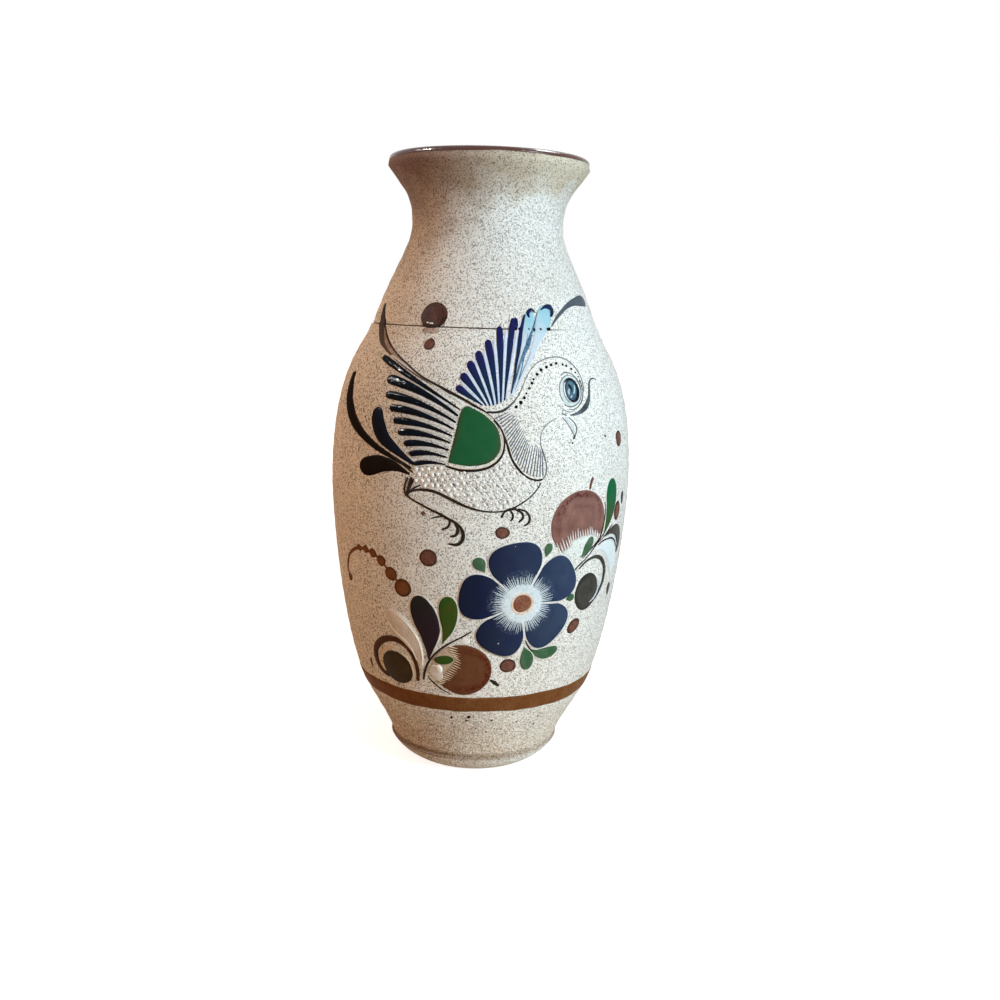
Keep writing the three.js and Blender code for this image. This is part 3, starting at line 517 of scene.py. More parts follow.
def stroke(points, widths, crown, base=0.0, across=10, step=0.7, fullness=2.4, sink=0.2):
    """A brush stroke over the wall. widths is a law of t, or widths at equal steps along the line, and both
    ends are rounded off. The crown is its height where it is widest."""
    _, length = spline(points, 2)
    rows = max(8, int(length / step))
    even = np.linspace(0, 1, rows)
    spots = (1 - np.cos(even * math.pi)) / 2 * CROWDING + even * (1 - CROWDING)
    fine, _ = spline(points, STROKE_STEPS)
    share = np.linspace(0, 1, STROKE_STEPS)
    centre = np.stack([np.interp(spots, share, fine[:, k]) for k in range(2)], -1)
    slope = np.gradient(fine, axis=0)
    along = np.stack([np.interp(spots, share, slope[:, k]) for k in range(2)], -1)
    along /= np.linalg.norm(along, axis=1, keepdims=True)
    if callable(widths):
        wide = widths(spots)
        head_round = 0.0
    else:
        wide = np.interp(spots, np.linspace(0, 1, len(widths)), widths)
        head_round = max(0.5 * widths[0] / length, 1e-6)
    tail_round = max(0.5 * max(wide[-1], 0.3) / length, 1e-6)
    for room, at in ((head_round, spots), (tail_round, 1 - spots)):
        if room:
            wide = wide * np.sqrt(np.clip(1 - np.clip(1 - at / room, 0, 1) ** 2, 0, 1))
    s = np.linspace(-1, 1, across + 1)
    side = s[None] * wide[:, None] / 2
    around = centre[:, :1] + along[:, 1:] * side
    z = centre[:, 1:] - along[:, :1] * side
    swell = np.clip(wide / max(wide.max(), 1e-6), 0, 1) ** 0.6
    height = crown * swell[:, None] * dome(s[None], fullness)
    return cushion(around, z, height, base, sink)


def thin(points, widths, crown, base=0.0):
    """A thin stroke, which needs fewer points across it."""
    return stroke(points, widths, crown, base, across=6)


def hairline(points, widths, crown, base=0.0):
    """The thinnest stroke, with the fewest points across it."""
    return stroke(points, widths, crown, base, across=4)


def disc(centre, size, crown, base=0.0, turn=0.0, rows=10, cols=40, uneven=0.03, seed=1, fullness=3.0):
    """A round dab of slip or glaze, a little uneven at its edge."""
    angle = np.linspace(0, 2 * math.pi, cols, endpoint=False)
    rng = np.random.default_rng(seed)
    edge = 1 + sum(uneven / k * np.sin(k * angle + rng.uniform(0, 6.3)) for k in (2, 3, 5))
    reach = np.linspace(0, 1, rows)[:, None]
    x, y = size[0] * reach * edge * np.cos(angle), size[1] * reach * edge * np.sin(angle)
    c, s = math.cos(math.radians(turn)), math.sin(math.radians(turn))
    around, z = centre[0] + c * x - s * y, centre[1] + s * x + c * y
    height = crown * dome(reach, fullness) * np.ones_like(angle)
    vertices, faces, uv = cushion(around, z, height, base, wrap=True)
    uv[:, 0] = 0.5 + np.tile(np.repeat(reach[:, 0], cols), 2) / 2
    return vertices, faces, uv


def lone(name, body, material, replaces=()):
    """One closed body as a mesh of its own."""
    vertices, faces, uv = body
    return make_piece(name, vertices, faces.tolist(), material, replaces, uv)


def sheaf_of(name, bodies, material, replaces=()):
    """Several closed bodies gathered into one mesh."""
    faces, below = [], 0
    for vertices, body_faces, _ in bodies:
        faces.extend((body_faces + below).tolist())
        below += len(vertices)
    points = np.vstack([vertices for vertices, _, _ in bodies])
    uv = np.vstack([lay for _, _, lay in bodies])
    return make_piece(name, points, faces, material, replaces, uv)


# Geometry Nodes: throwing rings on the walls, and raised dots.
def tree_of(name, inputs):
    """A new tree that takes and gives a geometry, with its first and last node."""
    tree = bpy.data.node_groups.new(name, "GeometryNodeTree")
    tree.interface.new_socket("Geometry", in_out="INPUT", socket_type="NodeSocketGeometry")
    for label, kind, value in inputs:
        socket = tree.interface.new_socket(label, in_out="INPUT", socket_type=kind)
        if value is not None:
            socket.default_value = value
    tree.interface.new_socket("Geometry", in_out="OUTPUT", socket_type="NodeSocketGeometry")
    return tree, tree.nodes.new("NodeGroupInput"), tree.nodes.new("NodeGroupOutput")


def apply_tree(piece, tree, values):
    """Runs the tree on a piece with these named inputs and keeps the result as a plain mesh."""
    modifier = piece.modifiers.new(tree.name, "NODES")
    modifier.node_group = tree
    ids = {item.name: item.identifier for item in tree.interface.items_tree if item.in_out == "INPUT"}
    for label, value in values.items():
        modifier[ids[label]] = value
    bpy.context.view_layer.update()
    depsgraph = bpy.context.evaluated_depsgraph_get()
    mesh = bpy.data.meshes.new_from_object(piece.evaluated_get(depsgraph), preserve_all_data_layers=True,
                                           depsgraph=depsgraph)
    piece.modifiers.clear()
    piece.data = mesh
    return piece


def throwing_rings_tree():
    """Shallow rings pressed into the wall by the potter's fingers, climbing in a slow spiral."""
    tree, start, end = tree_of("throwing_rings", [
        ("Depth", "NodeSocketFloat", 0.0001),
        ("Pitch", "NodeSocketFloat", 0.008),
        ("Seed", "NodeSocketInt", 3),
    ])
    where = grow(tree, "GeometryNodeInputPosition").outputs[0]
    place = grow(tree, "ShaderNodeSeparateXYZ", {0: where}).outputs
    turn = calculate(tree, "ARCTAN2", place["Y"], place["X"])
    height = calculate(tree, "DIVIDE", place["Z"], start.outputs["Pitch"])
    ring = calculate(tree, "SINE", calculate(tree, "MULTIPLY_ADD", height, 2 * math.pi, turn))
    lift = grow(tree, "ShaderNodeMapRange",
                {"Value": ring, "From Min": -1, "From Max": 1, "To Min": -1, "To Max": 0})
    spot = grow(tree, "ShaderNodeVectorMath", {0: where, 1: (1.0, 1.0, 3.0)}, operation="MULTIPLY")
    drift = grow(tree, "ShaderNodeTexNoise", {
        "Vector": spot.outputs[0],
        "W": start.outputs["Seed"],
        "Scale": 22.0,
        "Detail": 1.0,
    }, noise_dimensions="4D")
    mark = grow(tree, "GeometryNodeInputNamedAttribute", {"Name": "thrown"}, data_type="FLOAT")
    depth = calculate(tree, "MULTIPLY", lift.outputs[0], drift.outputs[0])
    for share in (start.outputs["Depth"], mark.outputs["Attribute"]):
        depth = calculate(tree, "MULTIPLY", depth, share)
    flat = grow(tree, "ShaderNodeCombineXYZ", {"X": place["X"], "Y": place["Y"]})
    outward = grow(tree, "ShaderNodeVectorMath", {0: flat.outputs[0]}, operation="NORMALIZE")
    pressed = {0: outward.outputs[0], "Scale": depth}
    offset = grow(tree, "ShaderNodeVectorMath", pressed, operation="SCALE").outputs[0]
    shifted = {"Geometry": start.outputs["Geometry"], "Offset": offset}
    moved = grow(tree, "GeometryNodeSetPosition", shifted)
    feed(tree, end.inputs[0], moved.outputs[0])
    return tree


def raised_dots_tree():
    """A low round bead on each point, turned to face off the wall and as wide as the point says."""
    tree, start, end = tree_of("raised_dots", [
        ("Flatness", "NodeSocketFloat", 0.55),
        ("Finish", "NodeSocketMaterial", None),
    ])
    bead = grow(tree, "GeometryNodeMeshIcoSphere", {"Radius": 1.0, "Subdivisions": 3})
    low = grow(tree, "ShaderNodeCombineXYZ", {"X": 1.0, "Y": 1.0, "Z": start.outputs["Flatness"]})
    flattened = {"Geometry": bead.outputs["Mesh"], "Scale": low.outputs[0]}
    pressed = grow(tree, "GeometryNodeTransform", flattened)
    facing = grow(tree, "GeometryNodeInputNamedAttribute", {"Name": "facing"}, data_type="FLOAT_VECTOR")
    size = grow(tree, "GeometryNodeInputNamedAttribute", {"Name": "size"}, data_type="FLOAT")
    way = {"Vector": facing.outputs["Attribute"]}
    turned = grow(tree, "FunctionNodeAlignRotationToVector", way, axis="Z")
    dots = grow(tree, "GeometryNodeInstanceOnPoints", {
        "Points": start.outputs["Geometry"],
        "Instance": pressed.outputs[0],
        "Rotation": turned.outputs[0],
        "Scale": size.outputs["Attribute"],
    })
    real = grow(tree, "GeometryNodeRealizeInstances", {"Geometry": dots.outputs[0]})
    smooth = grow(tree, "GeometryNodeSetShadeSmooth", {"Geometry": real.outputs[0]})
    shown = {"Geometry": smooth.outputs[0], "Material": start.outputs["Finish"]}
    painted = grow(tree, "GeometryNodeSetMaterial", shown)
    feed(tree, end.inputs[0], painted.outputs[0])
    return tree


THROWING_RINGS = throwing_rings_tree()
RAISED_DOTS = raised_dots_tree()


def raised_dots(name, rows, material, flatness, base=0.0):
    """Beads at rows of [distance round, height, radius]."""
    rows = np.asarray(rows, float)
    places = on_wall(rows[:, 0], rows[:, 1], np.full(len(rows), base))
    facing = on_wall(rows[:, 0], rows[:, 1], np.full(len(rows), base + 1.0)) - places
    mesh = bpy.data.meshes.new(name)
    mesh.from_pydata(places * MM, [], [])
    mesh.attributes.new("size", "FLOAT", "POINT").data.foreach_set("value", rows[:, 2] * MM)
    mesh.attributes.new("facing", "FLOAT_VECTOR", "POINT").data.foreach_set("vector", facing.ravel())
    piece = bpy.data.objects.new(name, mesh)
    bpy.context.scene.collection.objects.link(piece)
    apply_tree(piece, RAISED_DOTS, {"Flatness": flatness, "Finish": material})
    return settle(piece)


# The thrown body. Its rings are shallow, and one turn of the potter's fingers climbs by their pitch.
MERIDIANS = 360
MERIDIAN_ANGLES = np.linspace(0, 2 * math.pi, MERIDIANS, endpoint=False)
THROWING_DEPTH, THROWING_PITCH, THROWING_SEED = 0.28, 7.6, 3
ARRIS = 0.45
FLOOR_CORNER_HEIGHT, FLOOR_CORNER_REACH = 15, 14
LIP_GLAZE_EDGE, LIP_GLAZE_END = 38, 184
BAND_LOW, BAND_HIGH, BAND_THICKNESS = 41.2, 49.6, 0.28


def turned(name, outline, material, slot, replaces, thrown=None, sharp=None, closed=False):
    """A body of revolution from its outline of [radius, height], closed at the axis or on itself."""
    outline = np.asarray(outline, float)
    vertices = round_axis(outline[:, :1], MERIDIAN_ANGLES, outline[:, 1:]).reshape(-1, 3)
    faces = quads(numbered(len(outline), MERIDIANS, round_rows=closed))
    marks = {"thrown": np.repeat(np.asarray(thrown, float), MERIDIANS)} if thrown is not None else None
    piece = make_piece(name, vertices, faces.tolist(), material, replaces, None, marks, sharp)
    if thrown is not None:
        rings = {"Depth": THROWING_DEPTH * MM, "Pitch": THROWING_PITCH * MM, "Seed": THROWING_SEED}
        apply_tree(piece, THROWING_RINGS, rings)
    return piece


def wall_rows(line, from_z, to_z, step):
    """Points on an outline between two heights, at about this step."""
    heights = np.linspace(from_z, to_z, int(abs(to_z - from_z) / step) + 1)
    return np.stack([np.interp(heights, line[:, 1], line[:, 0]), heights], -1)


def arc(centre, size, start, end, count):
    """Part of an ellipse, between two angles in degrees."""
    angle = np.radians(np.linspace(start, end, count))
    return np.stack([centre[0] + size[0] * np.cos(angle), centre[1] + size[1] * np.sin(angle)], -1)


def curve_through(a, b, c, count):
    """A line from a to c that bends towards b."""
    t = np.linspace(0, 1, count)[:, None]
    a, b, c = (np.array(p, float) for p in (a, b, c))
    return (1 - t) ** 2 * a + 2 * t * (1 - t) * b + t ** 2 * c


def bore_line():
    """The inside from the floor's middle to the seam: flat floor, round corner and even wall."""
    corner_z = FLOOR_Z + FLOOR_CORNER_HEIGHT
    corner_radius = np.interp(corner_z, LOWER_LINE[:, 1], LOWER_LINE[:, 0]) - WALL
    edge = (FLOOR_FLAT_RADIUS, FLOOR_Z)
    bend = (FLOOR_FLAT_RADIUS + FLOOR_CORNER_REACH, FLOOR_Z + 0.8)
    corner = curve_through(edge, bend, (corner_radius, corner_z), 9)
    wall = wall_rows(LOWER_LINE, corner_z, SEAM_Z, 5)
    wall[:, 0] -= WALL
    return np.vstack([[[0, FLOOR_Z], [FLOOR_FLAT_RADIUS / 2, FLOOR_Z]], corner, wall[1:]])


def upper_bore_line():
    """The inside from the seam to the lip, where the wall gets thinner."""
    wall = wall_rows(UPPER_LINE, COLLAR_Z, LIP_Z, 4)
    wall[:, 0] -= np.interp(wall[:, 1], [COLLAR_Z, LIP_Z], [WALL - 0.9, LIP_WALL])
    return wall


def make_body():
    """The belly with its foot, the luting slip and the upper section, each with softened arrises."""
    foot = np.vstack([
        [[0, FOOT_HOLLOW_DEPTH], [FOOT_RING_INNER - 2.4, FOOT_HOLLOW_DEPTH]],
        curve_through((FOOT_RING_INNER - 1.2, FOOT_HOLLOW_DEPTH - 0.3), (FOOT_RING_INNER - 0.4, 0),
                      (FOOT_RING_INNER + 0.4, 0), 4),
        curve_through((FOOT_RING_OUTER - 0.6, 0), (FOOT_RING_OUTER + 9, FOOT_TOP / 3),
                      (HEEL_RADIUS + FOOT_STEP - 0.05, FOOT_TOP - ARRIS), 18),
        arc((HEEL_RADIUS + FOOT_STEP - ARRIS, FOOT_TOP - ARRIS), (ARRIS, ARRIS), 10, 90, 4),
        [[HEEL_RADIUS - 0.15, FOOT_TOP + 0.15], [HEEL_RADIUS - 0.1, FOOT_LINE_TOP - 0.1]],
    ])
    wall = wall_rows(LOWER_LINE, FOOT_LINE_TOP + 0.4, SEAM_Z - ARRIS, 1.25)
    rim = arc((SEAM_RADIUS - ARRIS, SEAM_Z - ARRIS), (ARRIS, ARRIS), 20, 90, 4)
    bore = bore_line()[::-1]
    outline = np.vstack([foot, wall, rim, bore])
    thrown = np.concatenate([np.zeros(len(foot)), np.ones(len(wall)), np.zeros(len(rim) + len(bore))])
    thrown[len(foot):len(foot) + 3] = 0.3
    turned("belly_and_foot", outline, CLAY, "stoneware", ["lower_section"], thrown, 50)

    groove = COLLAR_RADIUS - ARRIS
    bore_radius = SEAM_RADIUS - WALL
    ring = [[bore_radius, SEAM_Z], [groove, SEAM_Z], [groove, COLLAR_Z], [bore_radius, COLLAR_Z]]
    # The joint's slip carries painted shade, darkest on the left.
    turned("luting_line", ring, SEAM_SLIP_AND_SHADE, "stoneware", ["luting_slip"], None, 30, closed=True)

    foot = arc((COLLAR_RADIUS - 0.35, COLLAR_Z + 0.35), (0.35, 0.35), -90, -10, 4)
    wall = wall_rows(UPPER_LINE, COLLAR_Z + 0.6, LIP_Z, 1.1)
    rim_centre = LIP_RADIUS - LIP_WALL / 2
    rim = arc((rim_centre, LIP_Z), (LIP_WALL / 2, RIM_HEIGHT), 8, 172, 14)
    bore = upper_bore_line()[::-1]
    outline = np.vstack([foot, wall, rim, bore])
    thrown = np.concatenate([np.zeros(len(foot)), np.ones(len(wall)), np.zeros(len(rim) + len(bore))])
    turned("collar_neck_and_lip", outline, CLAY, "stoneware", ["upper_section"], thrown, 50, closed=True)


def make_glazes():
    """The brown glaze inside and over the rim. Its edge outside wanders where it was dipped."""
    bore = np.vstack([bore_line(), upper_bore_line()[1:]])
    run = np.gradient(bore, axis=0)
    run /= np.linalg.norm(run, axis=1, keepdims=True)
    normal = np.stack([-run[:, 1], run[:, 0]], -1)
    inside = bore + normal * GLAZE
    inside[0] = (0, FLOOR_Z + GLAZE)
    inside[-1] = (LIP_RADIUS - LIP_WALL - GLAZE, LIP_Z)
    behind = bore - normal * 0.1
    behind[0] = (0, FLOOR_Z - 0.1)
    turned("liner", np.vstack([inside, behind[::-1]]), LINER, "liner", ["liner_glaze"])

    rim_centre = LIP_RADIUS - LIP_WALL / 2
    angle = MERIDIAN_ANGLES
    wander = 3.5 * np.sin(3 * angle + 1.1) + 2.5 * np.sin(7 * angle + 0.4) + 1.5 * np.sin(17 * angle)
    sweep = np.linspace(0, 1, 24)[:, None]
    turn = np.radians((LIP_GLAZE_EDGE + wander) * (1 - sweep) + LIP_GLAZE_END * sweep)
    thick = GLAZE * np.clip(np.minimum(sweep, 1 - sweep) * 9 + 0.12, 0, 1) ** 0.5
    rows = []
    for depth in (thick, np.full_like(thick, -0.15)):
        radius = rim_centre + (LIP_WALL / 2 + depth) * np.cos(turn)
        z = LIP_Z + (RIM_HEIGHT + depth) * np.sin(turn)
        rows.append(round_axis(radius, angle, z))
    loops = np.vstack([rows[0], rows[1][::-1]])
    faces = quads(numbered(len(loops), MERIDIANS, round_rows=True))
    make_piece("lip_glaze_coat", loops.reshape(-1, 3), faces.tolist(), LINER, ["lip_glaze"])


def make_band():
    """The brown band above the foot. It was painted freehand, so its edges rise and fall round the vase."""
    angle = MERIDIAN_ANGLES
    ripple = 0.25 * np.sin(5 * angle + 1) + 0.15 * np.sin(13 * angle) + 0.1 * np.sin(29 * angle + 2)
    tilt = 0.35 * np.sin(angle)
    low = BAND_LOW + tilt + ripple
    high = BAND_HIGH + tilt - 0.8 * ripple[::-1]
    share = np.linspace(0, 1, 14)[:, None]
    z = low + (high - low) * share
    around = np.ones_like(share) * angle * LAYOUT_RADIUS
    height = BAND_THICKNESS * dome(2 * share - 1, 8) * np.ones_like(angle)
    vertices, faces, uv = cushion(around, z, height, wrap=True)
    make_piece("painted_band", vertices, faces.tolist(), BROWN, ["foot_band"], uv)


# The bird. A feather has the layout place of its tip, its bend as a share of its length, and its width. The
# last two of the right wing are listed one by one below, and have no width here.
LEFT_WING = [
    (-57, 206.2, 0.03, 3.0), (-49, 197, 0.065, 4.4), (-47.5, 190, 0.065, 3.7), (-44, 184.5, 0.06, 3.4),
    (-41, 179, 0.06, 3.2), (-38, 174, 0.065, 3.2), (-34.5, 169.3, 0.07, 3.0), (-31.5, 165, 0.07, 2.7),
    (-29, 160.8, 0.07, 2.3),
]
LEFT_WING_ROOTS = [(-9.6, 185.6), (-12.6, 174.6), (-14.6, 161.4)]
RIGHT_WING = [
    (-12.4, 195.6, 0, 3.0), (-10.5, 201, 0.02, 3.5), (-7.5, 206.5, 0.02, 3.7), (-3.5, 211, 0.02, 3.9),
    (1.5, 216, 0.02, 4.0), (8.3, 222, 0, 3.9), (17, 225.7, -0.03, 3.6), (28, 229, -0.055),
    (41.5, 230.7, -0.095),
]
RIGHT_WING_ROOTS = [(0.2, 187.8), (6.2, 186.4), (12.8, 192.6)]


def feather_lines(feathers, roots):
    """The middle line of each feather: a bent line from its tip to its own place on the line of roots."""
    lines = []
    for (x, y, bend, *_), root in zip(feathers, curve_through(*roots, len(feathers))):
        tip = np.array([x, y], float)
        run = root - tip
        middle = tip + run / 2 + np.array([-run[1], run[0]]) * 2 * bend
        lines.append(curve_through(tip, middle, root, 12))
    return lines


def law(width, root, shoulder, taper=1.5):
    """The width law of a leaf-shaped stroke, for stroke to use."""
    return lambda t: stroke_width(t, width, root, shoulder, taper)


def quill(width, shares):
    """Widths of a feather at equal steps from its tip to its root, as shares of its widest place."""
    return [width * share for share in shares]


LEFT_QUILL = [0.86, 1.0, 0.98, 0.88, 0.76, 0.64, 0.52, 0.4, 0.3, 0.22]
RIGHT_QUILL = [0.84, 1.0, 0.96, 0.86, 0.74, 0.62, 0.5, 0.38, 0.28, 0.2]


def make_left_wing():
    left = feather_lines(LEFT_WING, LEFT_WING_ROOTS)
    for i, (line, row) in enumerate(zip(left, LEFT_WING), 1):
        body = stroke(line, quill(row[3], LEFT_QUILL), crown=0.75, across=12)
        lone(f"left_wing_quill_{i}", body, FEATHER_DARK, [f"left_wing_feather_{i}"])
    gaps = [
        stroke(a[2:] * 0.5 + b[2:] * 0.5, [1.1, 1.3, 1.2, 1.0, 0.7], 0.15)
        for a, b in zip(left, left[1:])
    ]
    gaps.append(stroke(left[0][1:] + np.array([0.6, 2.6]), [0.9, 1.2, 1.1, 0.9, 0.6], 0.15))
    sheaf_of("left_wing_pale_gaps", gaps, GAP_GREY)


def make_right_wing():
    right = feather_lines(RIGHT_WING, RIGHT_WING_ROOTS)
    for i, (line, row) in enumerate(zip(right[:7], RIGHT_WING), 1):
        body = stroke(line, quill(row[3], RIGHT_QUILL), crown=0.5, across=12)
        lone(f"right_wing_quill_{i}", body, FEATHER_NAVY, [f"right_wing_feather_{i}"])
    for i, line, widths in (
        (8, [(27.8, 229.2), (26.8, 225.6), (24.9, 221.8), (22.4, 216), (19.4, 209), (16.4, 201), (12.4, 192)],
         [5.0, 6.2, 5.6, 4.2, 3.2, 2.4, 1.8, 1.2]),
        (9, [(39.4, 231), (37.2, 226.8), (33.4, 222), (29.6, 216.6), (24.6, 210), (20, 203.6), (13.4, 193.4)],
         [8.0, 9.8, 6.4, 3.6, 2.6, 2.0, 1.6, 1.1]),
    ):
        # The blue heads of these two feathers are a painted sky reflection.
        body = stroke(line, widths, crown=0.42, across=18)
        lone(f"right_wing_quill_{i}", body, SKY_REFLECTION_TO_WHITE, [f"right_wing_feather_{i}"])
    gaps = [
        stroke((a[1:] + b[1:]) / 2, [1.3, 1.9, 1.8, 1.5, 1.1, 0.8], crown=0.16)
        for a, b in zip(right, right[1:])
    ]
    sheaf_of("right_wing_pale_gaps", gaps, GAP_WHITE)
    dark = [
        stroke([
            (23.9, 227.3), (22.7, 224.9), (21.7, 222.3), (20.6, 220.5), (19.8, 217.7), (18.7, 214.2),
            (17.5, 210.6), (16, 206.3), (14.7, 201.1), (12.6, 193),
        ], [1.0, 1.5, 2.0, 2.3, 1.9, 1.5, 1.2, 1.0, 0.8, 0.5], 0.3, 0.3),
        stroke([
            (26.8, 225.8), (25.9, 227.6), (27.3, 229), (29.3, 229.4), (30.8, 228),
        ], [0.8, 2.2, 1.7, 1.1, 0.4], 0.3, 0.4),
        stroke([
            (34.6, 229.2), (38, 230.7), (41.1, 230.9), (43.2, 230), (43, 228.2), (41.2, 226.4),
        ], [0.4, 1.0, 2.0, 2.6, 2.3, 0.8], 0.3, 0.4),
        thin([(17.4, 226), (18.6, 224.4), (18.4, 222.2), (17.8, 220.8)], [0.6, 1.2, 1.4, 0.8], 0.3, 0.3),
    ]
    teal = [
        stroke([
            (32.5, 228.2), (30.7, 225.6), (28.9, 222.4), (27, 219.9), (25.2, 216.8), (23.5, 214),
            (21.4, 211.5), (18.8, 207.5), (16.9, 203.9), (12.9, 194),
        ], [0.5, 0.6, 0.9, 2.0, 2.3, 1.6, 1.1, 0.9, 0.7, 0.5], 0.3, 0.3),
        hairline([(24.4, 219), (22.4, 214), (20, 208), (16.4, 199)], [0.3, 0.6, 0.5, 0.3], 0.2, 0.35),
    ]
    sheaf_of("right_wing_teal_edges", teal, TEAL)
    sheaf_of("right_wing_dark_edges", dark, FEATHER_NAVY)
    body = hairline([
        (40.5, 221.9), (35.9, 220.3), (32.3, 218.1), (27.8, 214.4), (23.8, 210), (21.1, 206),
        (18.5, 202.4), (14.2, 194.4),
    ], [0.5, 0.5, 0.6, 0.6, 0.5, 0.5, 0.5, 0.4], 0.2)
    lone("right_wing_outline", body, GREY_LINE)
    pools = [
        (17.6, 221, 0.8), (20, 220.8, 0.9), (22.4, 220.7, 0.5), (25.1, 220.8, 0.9), (28.2, 220.8, 1.0),
        (30.4, 220.7, 0.5), (32.7, 220.9, 0.9), (35.2, 220.8, 0.6), (37.6, 221, 0.9), (38.6, 221.1, 0.8),
    ]
    raised_dots("seam_glaze_pools", pools, CHARCOAL, 0.5)


def make_wing_edges():
    """The long curved feathers over both wings. The left one has a washed middle between two dark lines."""
    body = stroke([
        (-82.5, 230.2), (-78.6, 224.8), (-74, 220.5), (-69.6, 216.9), (-64.4, 213.2), (-58.5, 210.2),
        (-50.8, 207.1), (-43.5, 204.1), (-36, 200.9), (-28, 197.6), (-18, 193.6), (-10, 190.8), (-3, 187),
    ], [3.0, 5.0, 5.2, 3.6, 1.6, 0.9, 0.8, 0.8, 0.7, 0.7, 0.6, 1.0, 0.9], crown=0.35, across=12)
    lone("left_wing_edge", body, WING_BAND, ["left_wing_edge_feather"])
    body = thin([
        (-79.6, 228.6), (-74.6, 224), (-69.8, 220.6), (-62.9, 215.8), (-56.6, 212.3), (-48.3, 208.2),
        (-39.8, 204.2), (-33.4, 200.8), (-28.4, 198.4), (-21.7, 195.8), (-14.8, 193), (-6.9, 189.4),
        (-1.9, 186.8), (1.8, 184.9),
    ], [0.6, 1.0, 1.0, 0.8, 0.8, 0.7, 0.7, 0.8, 0.9, 1.0, 1.1, 1.2, 1.0, 0.7], 0.3, 0.08)
    lone("left_wing_edge_inner_line", body, LINE)
    body = stroke([
        (-74, 220.8), (-66.8, 215.9), (-60.3, 212.4), (-53, 209.1), (-46, 206), (-38, 202.2),
    ], [3.6, 4.4, 3.6, 2.4, 1.6, 0.8], 0.12, across=8)
    lone("left_wing_edge_wash", body, FADED)
    body = stroke([
        (86.6, 233.5), (80, 234.1), (70.5, 233.7), (63, 232.7), (56.6, 231), (51, 228.6), (46.8, 226.4),
        (43.2, 224), (40.9, 222.1),
    ], [4.2, 5.2, 4.6, 3.4, 2.6, 2.0, 1.8, 1.4, 0.7], crown=0.35, across=12)
    lone("right_wing_edge", body, GREY, ["right_wing_edge_feather"])


# The green wing patch, from its inner edge on the left to its outer edge on the right.
PATCH_INNER = [(-13.8, 162.8), (-11.6, 174), (-9.4, 185), (-6.6, 187.3)]
PATCH_OUTER = [
    (-13.8, 162.6), (-5, 161.4), (2.7, 162.9), (7.1, 167), (8.1, 172), (6.1, 178.8), (0.4, 184.1),
    (-6.6, 187.5),
]
PATCH_PALE_LINE = [
    (-1, 185.7), (3.5, 183), (6.8, 179.3), (8.6, 175), (8.9, 170.5), (7.6, 166.2), (4.3, 162.7),
    (0, 160.9), (-5, 160.3), (-10, 160.5), (-14, 161.6),
]
PATCH_DARK_LINE = [
    (-12, 191.6), (-6, 188.9), (0.3, 185.6), (4.7, 182.2), (7.8, 178), (9.4, 173), (9.2, 168),
    (6.8, 163.8), (2.5, 160.9), (-3, 159.5), (-9, 159.6), (-15, 161),
]


def make_patch():
    rows, across = 48, 30
    inner, _ = spline(PATCH_INNER, rows)
    outer, _ = spline(PATCH_OUTER, rows)
    s = np.linspace(0, 1, across)[None, :, None]
    grid = outer[:, None] * (1 - s) + inner[:, None] * s
    f = np.linspace(-1, 1, rows)[:, None]
    side = np.linspace(-1, 1, across)[None]
    swell = (1 - np.abs(f) ** 8) * (1 - np.abs(side) ** 8)
    height = 0.5 * np.sqrt(np.clip(swell, 0, 1))
    body = cushion(grid[..., 0], grid[..., 1], height)
    lone("wing_patch_enamel", body, GREEN, ["wing_patch"])
    body = stroke(PATCH_PALE_LINE, [0.4, 0.6, 0.6, 0.6, 0.7, 0.7, 0.5], 0.25)
    lone("wing_patch_pale_line", body, WARM_WHITE)
    body = stroke(PATCH_DARK_LINE, [0.5, 0.6, 0.7, 0.8, 1.0, 1.3, 1.3, 0.8], 0.25)
    lone("wing_patch_dark_line", body, LINE)


def make_tail():
    body = stroke([
        (-80, 198.3), (-78.6, 190), (-74, 182.4), (-64.6, 174.4), (-52, 167.6), (-40, 162.8), (-30, 158.6),
    ], [4.4, 7.4, 6.4, 4.4, 3.0, 2.1, 1.2], crown=0.5, across=12)
    lone("tail_plume_1", body, CHARCOAL, ["tail_feather_1"])
    body = stroke([
        (-51, 184.3), (-50, 178), (-45.8, 171.4), (-38, 166), (-28.6, 160.5),
    ], [5.2, 7.6, 7.6, 6.6, 5.0, 3.6, 2.4, 1.3], crown=0.6, across=14)
    lone("tail_plume_2", body, NAVY, ["tail_feather_2"])
    body = stroke([
        (-59.6, 156.6), (-54, 157), (-46, 159), (-38, 158.6), (-30.6, 156),
    ], law(8.9, 1.2, 0.22, 1.7), crown=0.5, across=14)
    lone("tail_plume_3", body, CHARCOAL, ["tail_feather_3"])
    fan = [
        stroke([(-31.5, 154.7), (-32.8, 151.5), (-33, 148.5), (-32.3, 146.2)], [0.7, 0.8, 0.9, 0.9], 0.25),
        stroke([(-29.6, 155), (-30.7, 152), (-31.9, 147.4)], [1.0, 1.1, 1.0], 0.3),
        stroke([(-28.6, 154.4), (-29.8, 151.6), (-31.8, 147.3)], [1.0, 1.0, 0.9], 0.3),
        stroke([(-25.4, 151.7), (-28.5, 150.1), (-31.6, 147.2)], [0.6, 0.9, 0.9], 0.25),
        stroke([(-40, 163.8), (-35, 160.5), (-29, 156.8)], [0.5, 0.8, 0.8], 0.25),
        disc((-31.9, 147), (1.1, 1.0), 0.3),
    ]
    sheaf_of("tail_fan", fan, LINE)


